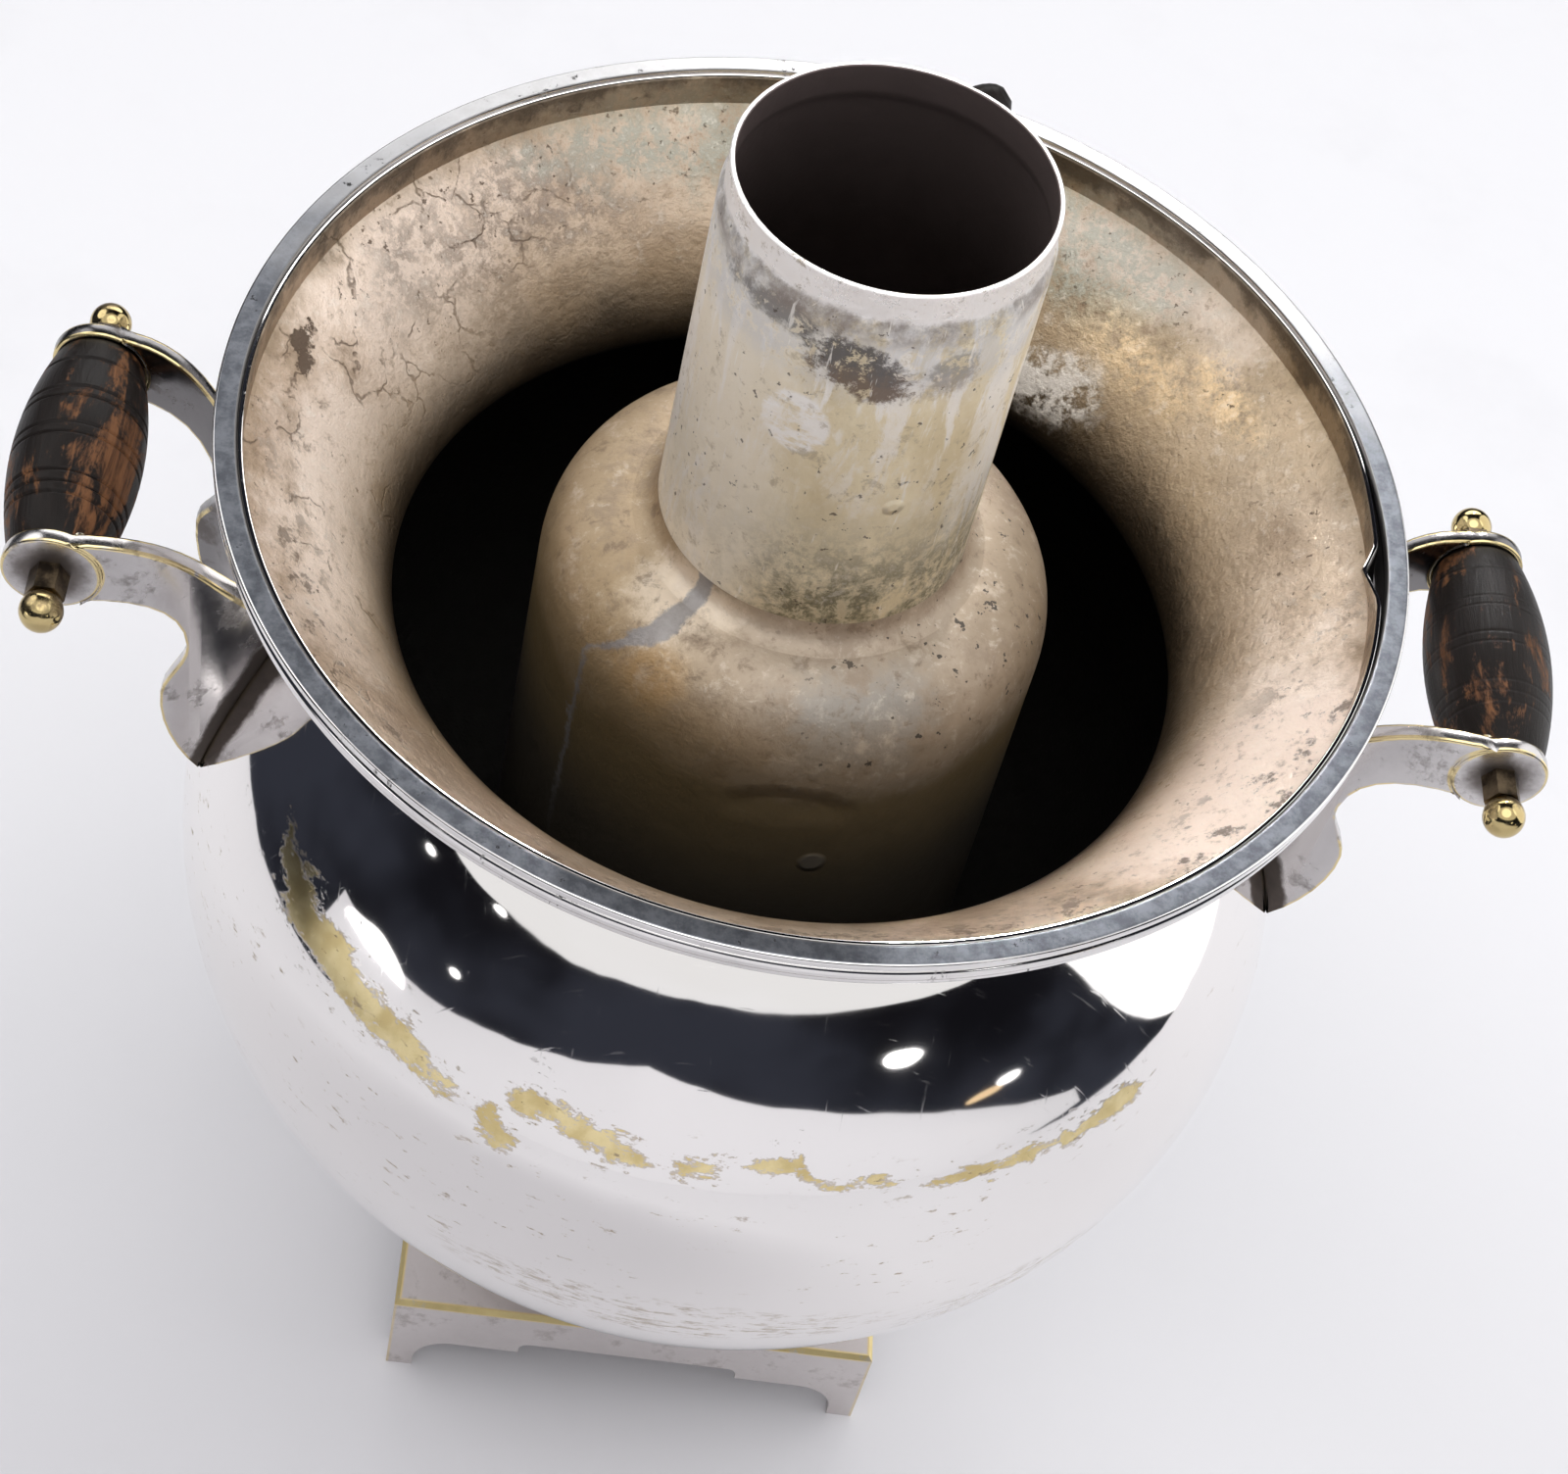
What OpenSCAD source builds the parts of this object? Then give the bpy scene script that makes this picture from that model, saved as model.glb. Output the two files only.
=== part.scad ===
// Charcoal samovar without its lid: a ball-shaped water vessel with a flared mouth, an inner fire tube
// and chimney, a square footed base, two handles with turned grips, and a tap with a lever key.
// Millimetres. The axis of the vessel is Z, the floor is z = 0, the tap points to -Y.

/* [Vessel] */
// Largest radius of the belly
belly_a = 143; // [120:1:170]
// Half height of the belly curve
belly_c = 115; // [95:1:135]
// Height of the widest part of the belly
belly_z = 191; // [175:1:210]
// Sheet thickness of the vessel
wall = 1.5; // [1:0.1:2.5]
// Radius of the flat under the belly
bottom_r = 54; // [48:1:60]
// Outer radius of the waist of the neck
throat_r = 97.5; // [88:0.5:104]
// Radius on the belly where the neck begins
shoulder_r = 108; // [104:1:114]
// Height of the neck, from the belly to the waist
neck_h = 12.6; // [8:0.2:18]
// Height of the funnel, from the waist to the collar
funnel_h = 43; // [36:1:50]
// Outer radius of the upright lid collar
collar_r = 134.5; // [120:0.5:150]
// Height of the lid collar
collar_h = 9.6; // [7:0.2:14]

/* [Rim ring] */
// Width of the ring outside the collar
ring_w = 5.5; // [4.5:0.1:9]
// Rise of the ring above the collar edge
ring_up = 0.8; // [0:0.1:2]
// Height of the whole ring
ring_h = 9.6; // [7:0.2:12]
// Thickness of the flat upper lip
ring_lip = 2.2; // [1.5:0.1:3]
// Radius of the round bead under the lip
ring_bead = 1.9; // [1.2:0.1:2.4]

/* [Fire tube and chimney] */
// Largest radius of the fire tube
tube_r = 62; // [54:0.5:70]
// Height of the tapered foot of the tube
tube_taper_h = 84; // [40:2:130]
// Depth of the shoulder edge below the rim
dome_drop = 44.4; // [30:0.2:60]
// Rise of the domed shoulder
dome_h = 24.5; // [15:0.5:32]
// Outer radius of the chimney pipe
pipe_r = 37; // [32:0.5:42]
// Thickness of tube and pipe
pipe_wall = 1.2; // [0.8:0.1:2]
// Height of the chimney above the rim
pipe_over = 89.6; // [50:0.2:130]
// Inward step of the swaged lip
lip_step = 1; // [0.4:0.1:2]
// Height of the swaged lip
lip_h = 8; // [5:0.5:14]

/* [Grate] */
// Thickness of the grate
grate_t = 5; // [3:0.5:8]
// Width of one slot
grate_slot = 5.2; // [4.5:0.1:8]
// Distance between slots
grate_pitch = 11; // [9:0.5:14]

/* [Foot] */
// Side of the square base
base_w = 139; // [120:1:160]
// Height of the base
base_h = 36; // [30:1:44]
// Wall of the base
base_wall = 3.2; // [2:0.2:5]
// Width of a bracket foot at the floor
foot_w = 7.5; // [5:0.5:14]
// Height of the cut between the feet
cut_z = 15; // [10:0.5:20]
// Height of the cut in the middle of a side
cut_mid_z = 20; // [16:0.5:26]
// Half width of the higher middle part
cut_mid_w = 32; // [20:1:45]
// Radius beside the feet
cut_r = 11; // [6:0.5:13]
// Radius of the pedestal flange
flange_r = 62; // [58:0.5:66]
// Radius of the pedestal waist
waist_r = 35; // [32:0.5:40]
// Diameter of a draught hole
draught_d = 10; // [6:0.5:12]
// Number of draught holes
draught_n = 8; // [4:1:10]

/* [Handles] */
// Reach of a grip rod beyond the belly
rod_out = 29; // [25:1:38]
// Height of a grip rod above the widest part
rod_up = 104; // [97:1:111]
// Radius of a rod
rod_r = 2.5; // [2:0.1:3.5]
// Half distance between the outer faces of two brackets
arm_y = 35; // [31:0.5:40]
// Thickness of a bracket
arm_t = 4; // [3:0.2:5]
// Radius of the bracket in plan
arm_bend = 64; // [60:1:72]
// Radius of the round eye
eye_r = 11.5; // [9:0.5:13]
// Largest radius of a grip
grip_r = 15.4; // [12:0.2:18]
// Radius of a grip at its ends
grip_end_r = 10.4; // [8:0.2:12]
// Depth of the turned lines
line_d = 0.5; // [0.2:0.1:0.8]
// Radius of the nut ball
ball_r = 5.1; // [4:0.1:6]
// Distance of the ball from the bracket
ball_out = 11.2; // [9:0.2:13]
// Width of the nut collar across flats
collar_af = 8; // [7:0.2:10]

/* [Tap] */
// Depth of the tap below the widest part
tap_down = 51; // [40:1:62]
// Distance of the plug from the belly
tap_out = 77.8; // [72:0.2:90]
// Radius of the shank
shank_r = 9; // [8:0.2:10]
// Radius of the water way
port_r = 4.5; // [4:0.1:5]
// Radius of the barrel
barrel_r = 13.5; // [12.5:0.5:16]
// Height of the barrel
barrel_h = 40; // [34:1:46]
// Upper radius of the plug
plug_top_r = 8.8; // [8:0.1:9.5]
// Lower radius of the plug
plug_low_r = 7; // [6.4:0.1:7.6]
// Reach of the spout beyond the plug
spout_y = 32; // [27:1:40]
// Drop of the spout below the tap height
spout_drop = 36; // [30:1:44]
// Direction of the key, from +X
key_turn = 204; // [180:1:230]
// Height of the turned key stem
key_h = 52; // [44:1:60]
// Rise of the lever above the level
key_rise = 34; // [20:1:45]
// Length of the metal lever
key_len = 52; // [44:1:58]
// Length of the wooden knob
knob_len = 27; // [20:1:30]
// Largest radius of the knob
knob_r = 8; // [6:0.2:9]

/* [Fits] */
// Running clearance of a grip on its rod
run = 0.08; // [0.03:0.01:0.1]
// Clearance of the plug in its seat
seat = 0.05; // [0.02:0.01:0.1]
// End gap between moving and fixed faces
end_gap = 0.35; // [0.3:0.05:0.6]

/* [Hidden] */
round_fn = 96;
small_fn = 48;
eps = 0.5;
far = 400;

// Points of a cubic curve, without its first point
function bez(a, b, c, d, n) = [for (i = [1:n]) let (t = i / n, u = 1 - t)
    u * u * u * a + 3 * u * u * t * b + 3 * u * t * t * c + t * t * t * d];
// Normal to the left of a step
function left(p) = [-p[1], p[0]] / norm(p);
// A line moved to its left by d, with mitred corners
function moved(q, d) = [for (i = [0:len(q) - 1]) let (
    a = left(i == 0 ? q[1] - q[0] : q[i] - q[i - 1]),
    b = left(i == len(q) - 1 ? q[i] - q[i - 1] : q[i + 1] - q[i]),
    m = a + b) q[i] + d * m * 2 / (m * m)];
function back(q) = [for (i = [len(q) - 1:-1:0]) q[i]];
function part(q, a, b) = [for (i = [a:b]) q[i]];
function belly_r(z) = belly_a * sqrt(1 - pow((z - belly_z) / belly_c, 2));
function belly_low(r) = belly_z - belly_c * sqrt(1 - pow(r / belly_a, 2));

// Vessel outline, from the edge of the fire hole to the collar edge
bottom_z = belly_low(bottom_r);
fire_hole_r = bottom_r - 4;
belly_n = 40;
neck_n = 8;
funnel_n = 14;
belly_t0 = -acos(bottom_r / belly_a);
belly_t1 = acos(shoulder_r / belly_a);
belly_pts = [for (i = [0:belly_n]) let (t = belly_t0 + (belly_t1 - belly_t0) * i / belly_n)
    [belly_a * cos(t), belly_z + belly_c * sin(t)]];
neck_a = belly_pts[belly_n];
neck_way = [-belly_a * sin(belly_t1), belly_c * cos(belly_t1)];
neck_pull = 8;
waist_pull = 6;
throat_z = neck_a[1] + neck_h;
crease_z = throat_z + funnel_h;
collar_z = crease_z + collar_h;
throat = [throat_r, throat_z];
crease = [collar_r, crease_z];
funnel_pull = [22, 16];
neck_b = neck_a + neck_pull * neck_way / norm(neck_way);
neck_pts = bez(neck_a, neck_b, throat - [0, waist_pull], throat, neck_n);
funnel_pts = bez(throat, throat + [0, waist_pull + 2], crease - funnel_pull, crease, funnel_n);
vessel_pts = concat([[fire_hole_r, bottom_z]], belly_pts, neck_pts, funnel_pts, [[collar_r, collar_z]]);
vessel_in = moved(vessel_pts, wall);
vessel_end = len(vessel_pts) - 1;
seam_i = belly_n + neck_n + 1;

// Rim ring
ring_r = collar_r + ring_w;
ring_z = collar_z + ring_up;

// Fire tube outline, standing on the flat inside the vessel
tube_z = bottom_z + wall;
tube_foot_r = bottom_r - 1;
tube_waist_z = tube_z + tube_taper_h;
dome_z = ring_z - dome_drop;
pipe_z = ring_z + pipe_over;
lip_r = pipe_r - lip_step;
tube_dome_n = 12;
pipe_in_r = pipe_r - pipe_wall;
dome_in_r = pipe_r + 1;
pipe_low_z = dome_z + dome_h;
sleeve_z = pipe_low_z + 11;
tube_pts = concat([[tube_foot_r, tube_z], [tube_r, tube_waist_z]],
    [for (i = [0:tube_dome_n]) let (t = 90 * i / tube_dome_n)
        [dome_in_r + (tube_r - dome_in_r) * cos(t), dome_z + dome_h * sin(t)]],
    [[pipe_in_r, pipe_low_z], [pipe_in_r, sleeve_z]]);

// Pedestal outline
ped_wall = 2.2;
ped_edge = 3;
ped_top = 3;
ped_flat = 12;
ped_mid_z = (base_h + bottom_z) / 2;
ped_hole_r = fire_hole_r - 6;
ped_n = 8;
waist_h = draught_d + 3;
ped_in_r = flange_r - ped_flat - 3;
ped_rise = [flange_r - ped_flat, base_h + ped_edge];
ped_waist_a = [waist_r, ped_mid_z - waist_h / 2];
ped_waist_b = [waist_r, ped_mid_z + waist_h / 2];
ped_low = [ped_in_r, base_h];
ped_rim = [bottom_r, bottom_z - ped_top];
ped_bore = [ped_hole_r, bottom_z - ped_top];
ped_in_a = ped_waist_a - [ped_wall, 0];
ped_in_b = ped_waist_b - [ped_wall, 0];
ped_pts = concat([ped_low, [flange_r, base_h], [flange_r, base_h + ped_edge], ped_rise],
    bez(ped_rise, ped_rise - [8, 0], ped_waist_a - [0, 7], ped_waist_a, ped_n),
    [ped_waist_b],
    bez(ped_waist_b, ped_waist_b + [0, 7], ped_rim - [10, 1], ped_rim, ped_n),
    [[bottom_r, bottom_z], [ped_hole_r, bottom_z], ped_bore],
    bez(ped_bore, ped_bore - [6, 2], ped_in_b + [0, 6], ped_in_b, ped_n),
    [ped_in_a],
    bez(ped_in_a, ped_in_a - [0, 7], ped_low - [8, -1], ped_low - [1, -0.2], ped_n));
air_r = waist_r - ped_wall;
rivet_r = 2.2;
rivet_head_r = 3.8;
rivet_head_h = 2;
rivet_at = flange_r - ped_flat / 2;
rivet_seat = base_h + ped_edge;

// Grip rods and brackets, with the bracket outline in steps inward and upward from the rod axis
rod_x = belly_a + rod_out;
rod_z = belly_z + rod_up;
eye_clear = 1.2;
arm_pts = concat([[-eye_r / 2, 0], [0, eye_r - 1.5]],
    bez([0, eye_r - 1.5], [14, eye_r + 1], [25, 8], [34, -6], 10),
    bez([34, -6], [41, -17], [47, -30], [62, -52], 6),
    [[58, -98]],
    bez([40, -88], [32, -78], [24, -58], [25, -45], 8),
    bez([25, -45], [25.5, -39], [31, -36], [30.5, -29], 6),
    bez([30.5, -29], [29.5, -14], [18, -5], [0, 1.5 - eye_r], 8));
grip_half = arm_y - arm_t - end_gap;
rod_half = arm_y + 7;
nut_depth = 7.6;
nut_collar_h = ball_out - 3.8;

// Grip outline along its length, with groups of turned lines
grip_n = 40;
grip_lines = [6, 14, 16, 22, 24, 26, 33];
function grip_body(t) = grip_end_r + (grip_r - grip_end_r) * pow(sin(180 * t), 0.8);
grip_pts = [for (i = [0:grip_n]) let (t = i / grip_n, on = len(search(i, grip_lines)) > 0)
    [grip_body(t) - (on ? line_d : 0), -grip_half + 2 * grip_half * t]];

// Tap
tap_z = belly_z - tap_down;
tap_y = belly_r(tap_z) + tap_out;
flange_out = belly_r(tap_z) + 9;
tap_flange_r = 23;
shank_in = belly_r(tap_z) - 10;
barrel_low = tap_z - barrel_h / 2;
barrel_top = tap_z + barrel_h / 2;
band_h = 3;
band_r = barrel_r + 1.3;
shank_thin = 16;
bead_y = tap_y - barrel_r - 19.5;
spout_r = 8;
spout_end_r = 6.6;
cross_r = port_r - 0.7;
head_r = 10.6;
head_h = 4;
head_z = barrel_top + end_gap;
key_z = head_z + head_h;
square_w = 6;
square_h = 12;
square_gap = 0.05;
stub_r = 4;
washer_t = 2;
washer_r = 9;
washer_z = barrel_low - end_gap - washer_t;
nut_h = 5.5;
nut_af = 12;
nut_z = washer_z - nut_h;
stub_z = nut_z - 1.5;
lever_z = key_z + key_h - 6;
lever_r0 = 5.4;
lever_r1 = 3.4;
tang_r = 2.2;
tang_len = 15;
key_pts = [[0, 0], [8.5, 0], [8.5, 2.5], [6.2, 5], [5.6, 13], [6.4, 18], [8.2, 21], [8.2, 23], [5.2, 27],
    [4.4, key_h - 16], [5.4, key_h - 11], [6.6, key_h - 6], [6, key_h - 2], [3.4, key_h + 1],
    [0, key_h + 2]];
// Turned outline of the shank, from the rosette towards the barrel
shank_pts = [[0, shank_in], [shank_r, shank_in], [shank_r, flange_out], [shank_r + 2.6, flange_out],
    [shank_r + 2.6, flange_out + band_h], [shank_r - 0.5, flange_out + 2 * band_h],
    [shank_r - 1.4, flange_out + shank_thin], [shank_r - 0.6, bead_y - band_h * 3],
    [shank_r + 2, bead_y], [shank_r + 2, bead_y + band_h], [shank_r - 1, bead_y + band_h + 4],
    [shank_r - 1, tap_y], [0, tap_y]];
knob_pts = concat([[0, 0], [knob_r * 0.55, 0]],
    bez([knob_r * 0.55, 0], [knob_r * 1.1, knob_len * 0.2], [knob_r * 1.2, knob_len * 0.75],
        [knob_r * 0.55, knob_len * 0.95], 12),
    [[knob_r * 0.3, knob_len], [0, knob_len]]);

silver = [0.84, 0.82, 0.79];
tarnish = [0.72, 0.66, 0.55];
iron = [0.22, 0.2, 0.19];
brass = [0.78, 0.63, 0.28];
dark_wood = [0.16, 0.1, 0.07];

// Cylinder along Y between two values of y
module along_y(y0, y1, r, fn = small_fn) {
    translate([0, y1, 0])
        rotate([90, 0, 0])
            cylinder(h = y1 - y0, r = r, $fn = fn);
}

// Six-sided bar from z = 0, given across flats
module hex(af, h) {
    cylinder(h = h, d = af / cos(30), $fn = 6);
}

// The vessel filled solid, used to fit what is soldered to it
module shell_fill() {
    rotate_extrude($fn = round_fn)
        polygon(concat([[0, bottom_z]], vessel_pts, [[0, collar_z]]));
}

// Water vessel up to the waist of its neck, with the hole for the tap shank
module shell() {
    color(silver)
        difference() {
            rotate_extrude($fn = round_fn)
                polygon(concat(part(vessel_pts, 0, seam_i), back(part(vessel_in, 0, seam_i))));
            translate([0, 0, tap_z])
                along_y(-belly_a, -belly_a / 2, shank_r);
        }
}

// Flared mouth with the upright lid collar, soldered on at the waist of the neck
module mouth() {
    color(silver)
        rotate_extrude($fn = round_fn)
            polygon(concat(part(vessel_pts, seam_i, vessel_end), back(part(vessel_in, seam_i, vessel_end))));
}

// Moulded ring round the collar: flat lip, groove, bead and foot
module rim_ring() {
    low = ring_z - ring_h;
    bead_z = ring_z - ring_lip - 1 - ring_bead;
    color(silver)
        rotate_extrude($fn = round_fn)
            union() {
                translate([collar_r, ring_z - ring_lip])
                    square([ring_r - collar_r, ring_lip]);
                translate([collar_r, low])
                    square([ring_r - collar_r - 1.9, ring_h - ring_lip / 2]);
                translate([ring_r - 0.3 - ring_bead, bead_z])
                    circle(r = ring_bead, $fn = small_fn);
                polygon([[collar_r, low], [ring_r - 2.6, low], [ring_r - 1, low + 1.4],
                    [ring_r - 1, low + 2.6], [collar_r, low + 3]]);
            }
}

// Wide inner tube with a domed shoulder and a sleeve for the pipe
module fire_tube() {
    color(tarnish)
        rotate_extrude($fn = round_fn)
            polygon(concat(tube_pts, back(moved(tube_pts, pipe_wall))));
}

// Chimney pipe with its swaged lip
module chimney() {
    lip_in = lip_r - pipe_wall;
    step_z = pipe_z - lip_h;
    color(tarnish)
        rotate_extrude($fn = round_fn)
            polygon([[pipe_in_r, pipe_low_z], [pipe_r, pipe_low_z], [pipe_r, step_z - 3], [lip_r, step_z],
                [lip_r, pipe_z], [lip_in, pipe_z], [lip_in, step_z], [pipe_in_r, step_z - 3]]);
}

// Slotted disc lying on the pedestal inside the fire hole
module grate() {
    slot_half = ped_hole_r - 5;
    slot_n = floor((slot_half - grate_slot) / grate_pitch);
    color(iron)
        translate([0, 0, bottom_z])
            difference() {
                cylinder(h = grate_t, r = fire_hole_r - 0.8, $fn = round_fn);
                for (i = [-slot_n:slot_n]) {
                    len_half = sqrt(slot_half * slot_half - pow(i * grate_pitch, 2));
                    translate([i * grate_pitch - grate_slot / 2, -len_half, -eps])
                        cube([grate_slot, 2 * len_half, grate_t + 2 * eps]);
                }
            }
}

// Waisted foot with a flange, a top that carries the vessel, and draught holes
module pedestal() {
    color(silver)
        difference() {
            rotate_extrude($fn = round_fn)
                polygon(ped_pts);
            for (i = [0:draught_n - 1])
                rotate([0, 0, (i + 0.5) * 360 / draught_n])
                    translate([0, 0, ped_mid_z])
                        along_y(0, flange_r, draught_d / 2);
            for (i = [0:3])
                rotate([0, 0, 45 + 90 * i])
                    translate([rivet_at, 0, base_h - eps])
                        cylinder(h = ped_edge + 2 * eps, r = rivet_r, $fn = small_fn);
        }
}

// Cut under one side of the base, with round corners beside the feet and a higher middle
module base_cut() {
    half = base_w / 2 - foot_w;
    mid_r = 3;
    translate([-half, -eps])
        square([2 * half, cut_z - cut_r + eps]);
    translate([cut_r - half, -eps])
        square([2 * (half - cut_r), cut_z + eps]);
    translate([-cut_mid_w, 0])
        square([2 * cut_mid_w, cut_mid_z - mid_r]);
    translate([mid_r - cut_mid_w, 0])
        square([2 * (cut_mid_w - mid_r), cut_mid_z]);
    for (s = [-1, 1]) {
        translate([s * (half - cut_r), cut_z - cut_r])
            circle(r = cut_r, $fn = small_fn);
        translate([s * (cut_mid_w - mid_r), cut_mid_z - mid_r])
            circle(r = mid_r, $fn = small_fn);
    }
}

// Hollow square base with bracket feet and bevelled upper edges
module base() {
    inside = base_w - 2 * base_wall;
    bevel = 1.2;
    color(silver)
        difference() {
            translate([-base_w / 2, -base_w / 2, 0])
                cube([base_w, base_w, base_h]);
            translate([-inside / 2, -inside / 2, -eps])
                cube([inside, inside, base_h - base_wall + eps]);
            for (a = [0, 90])
                rotate([90, 0, a])
                    linear_extrude(height = 2 * base_w, center = true)
                        base_cut();
            for (a = [0:90:270])
                rotate([0, 0, a])
                    translate([base_w / 2, 0, base_h])
                        rotate([0, 45, 0])
                            cube([bevel * sqrt(2), 2 * base_w, bevel * sqrt(2)], center = true);
            translate([0, 0, base_h / 2])
                cylinder(h = base_h, r = air_r, $fn = round_fn);
            for (i = [0:3])
                rotate([0, 0, 45 + 90 * i])
                    translate([rivet_at, 0, base_h / 2])
                        cylinder(h = base_h, r = rivet_r, $fn = small_fn);
        }
}

// Four rivets through the pedestal flange and the base, with a head at each end
module pedestal_rivets() {
    under = base_h - base_wall - rivet_head_h;
    color(brass)
        for (i = [0:3])
            rotate([0, 0, 45 + 90 * i])
                translate([rivet_at, 0, 0]) {
                    translate([0, 0, rivet_seat])
                        cylinder(h = rivet_head_h, r = rivet_head_r, $fn = small_fn);
                    translate([0, 0, under])
                        cylinder(h = rivet_seat - under + rivet_head_h / 2, r = rivet_r, $fn = small_fn);
                    translate([0, 0, under])
                        cylinder(h = rivet_head_h, r = rivet_head_r, $fn = small_fn);
                }
}

// One flat bracket for +X and +Y: round eye, arm bent inward in plan, pointed leaf against the belly
module arm() {
    clear_y = 2;
    difference() {
        union() {
            intersection() {
                translate([rod_x, 0, rod_z])
                    rotate([90, 0, 180])
                        linear_extrude(height = 2 * (arm_y + eps), center = true)
                            polygon(arm_pts);
                translate([rod_x, arm_y - arm_bend, 0])
                    difference() {
                        cylinder(h = far, r = arm_bend, $fn = round_fn);
                        cylinder(h = far, r = arm_bend - arm_t, $fn = round_fn);
                    }
                translate([0, clear_y, 0])
                    cube([rod_x, far, far]);
            }
            translate([rod_x, 0, rod_z])
                along_y(arm_y - arm_t, arm_y, eye_r);
        }
        shell_fill();
        translate([rod_x, 0, rod_z]) {
            along_y(0, arm_y - arm_t, grip_end_r + eye_clear);
            along_y(0, 2 * arm_y, rod_r);
        }
    }
}

module arm_right_rear() {
    color(silver)
        arm();
}

module arm_right_front() {
    color(silver)
        mirror([0, 1, 0])
            arm();
}

module arm_left_rear() {
    color(silver)
        mirror([1, 0, 0])
            arm();
}

module arm_left_front() {
    color(silver)
        mirror([1, 0, 0])
            mirror([0, 1, 0])
                arm();
}

// Two plain rods through the brackets and grips
module grip_rods() {
    color(brass)
        for (s = [-1, 1])
            translate([s * rod_x, 0, rod_z])
                along_y(-rod_half, rod_half, rod_r);
}

// One ball-ended nut, standing on z = 0 with a blind hole for the rod
module acorn_nut() {
    difference() {
        union() {
            hex(collar_af, nut_collar_h);
            translate([0, 0, ball_out])
                sphere(r = ball_r, $fn = small_fn);
        }
        translate([0, 0, -eps])
            cylinder(h = nut_depth + eps, r = rod_r, $fn = small_fn);
    }
}

module acorn_nuts() {
    color(brass)
        for (s = [-1, 1])
            for (e = [-1, 1])
                translate([s * rod_x, e * arm_y, rod_z])
                    rotate([-e * 90, 0, 0])
                        acorn_nut();
}

// Turned wooden grip with groups of lines, bored for its rod
module grip(side) {
    translate([side * rod_x, 0, rod_z])
        rotate([90, 0, 0])
            rotate_extrude($fn = round_fn)
                polygon(concat([[rod_r + run, -grip_half]], grip_pts, [[rod_r + run, grip_half]]));
}

module grip_right() {
    color(dark_wood)
        grip(1);
}

module grip_left() {
    color(dark_wood)
        grip(-1);
}

// Rosette round the shank, fitted to the belly
module tap_flange() {
    inside_y = belly_r(tap_z - tap_flange_r) - 12;
    color(silver)
        difference() {
            translate([0, 0, tap_z])
                rotate([90, 0, 0])
                    rotate_extrude($fn = round_fn)
                        polygon([[shank_r, inside_y], [tap_flange_r, inside_y],
                            [tap_flange_r, flange_out - 5], [tap_flange_r - 2, flange_out - 3],
                            [shank_r + 5, flange_out - 2], [shank_r + 3, flange_out],
                            [shank_r, flange_out]]);
            shell_fill();
        }
}

// Cast tap body: shank, barrel with bands, and a spout that turns down
module tap_barrel() {
    spout_at = -tap_y - spout_y;
    color(silver)
        difference() {
            union() {
                translate([0, 0, tap_z])
                    rotate([90, 0, 0])
                        rotate_extrude($fn = small_fn)
                            polygon(shank_pts);
                translate([0, -tap_y, barrel_low])
                    cylinder(h = barrel_h, r = barrel_r, $fn = round_fn);
                for (z = [barrel_low, barrel_top - band_h])
                    translate([0, -tap_y, z])
                        cylinder(h = band_h, r = band_r, $fn = round_fn);
                translate([0, 0, tap_z])
                    along_y(spout_at, -tap_y, spout_r);
                translate([0, spout_at, tap_z])
                    sphere(r = spout_r, $fn = small_fn);
                translate([0, spout_at, tap_z - spout_drop])
                    cylinder(h = spout_drop, r1 = spout_end_r, r2 = spout_r, $fn = small_fn);
                translate([0, spout_at, tap_z - spout_drop])
                    cylinder(h = band_h, r = spout_end_r + 1.2, $fn = small_fn);
            }
            translate([0, 0, tap_z])
                along_y(spout_at, eps - shank_in, port_r);
            translate([0, spout_at, tap_z])
                sphere(r = port_r, $fn = small_fn);
            translate([0, spout_at, tap_z - spout_drop - eps])
                cylinder(h = spout_drop + eps, r = port_r, $fn = small_fn);
            translate([0, -tap_y, barrel_low])
                cylinder(h = barrel_h, r1 = plug_low_r + seat, r2 = plug_top_r + seat, $fn = round_fn);
        }
}

// Tapered plug with head, square for the key, cross bore and threaded stub
module tap_plug() {
    color(brass)
        translate([0, -tap_y, 0])
            rotate([0, 0, key_turn])
                difference() {
                    union() {
                        translate([0, 0, barrel_low])
                            cylinder(h = barrel_h, r1 = plug_low_r, r2 = plug_top_r, $fn = round_fn);
                        translate([0, 0, barrel_top - end_gap])
                            cylinder(h = 2 * end_gap, r = plug_top_r - end_gap, $fn = round_fn);
                        translate([0, 0, head_z])
                            cylinder(h = head_h, r = head_r, $fn = round_fn);
                        translate([-square_w / 2, -square_w / 2, key_z])
                            cube([square_w, square_w, square_h]);
                        translate([0, 0, stub_z])
                            cylinder(h = barrel_low - stub_z, r = stub_r, $fn = small_fn);
                    }
                    translate([0, 0, tap_z])
                        rotate([0, 90, 0])
                            cylinder(h = 4 * barrel_r, r = cross_r, center = true, $fn = small_fn);
                }
}

// Turned key stem with a rising lever and a tang for the knob
module key_lever() {
    socket = square_w + 2 * square_gap;
    color(brass)
        translate([0, -tap_y, 0])
            rotate([0, 0, key_turn])
                difference() {
                    union() {
                        translate([0, 0, key_z])
                            rotate_extrude($fn = small_fn)
                                polygon(key_pts);
                        translate([0, 0, lever_z])
                            rotate([0, 90 - key_rise, 0]) {
                                cylinder(h = key_len, r1 = lever_r0, r2 = lever_r1, $fn = small_fn);
                                cylinder(h = key_len + tang_len, r = tang_r, $fn = small_fn);
                            }
                    }
                    translate([-socket / 2, -socket / 2, key_z - eps])
                        cube([socket, socket, square_h + square_gap + eps]);
                }
}

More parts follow.
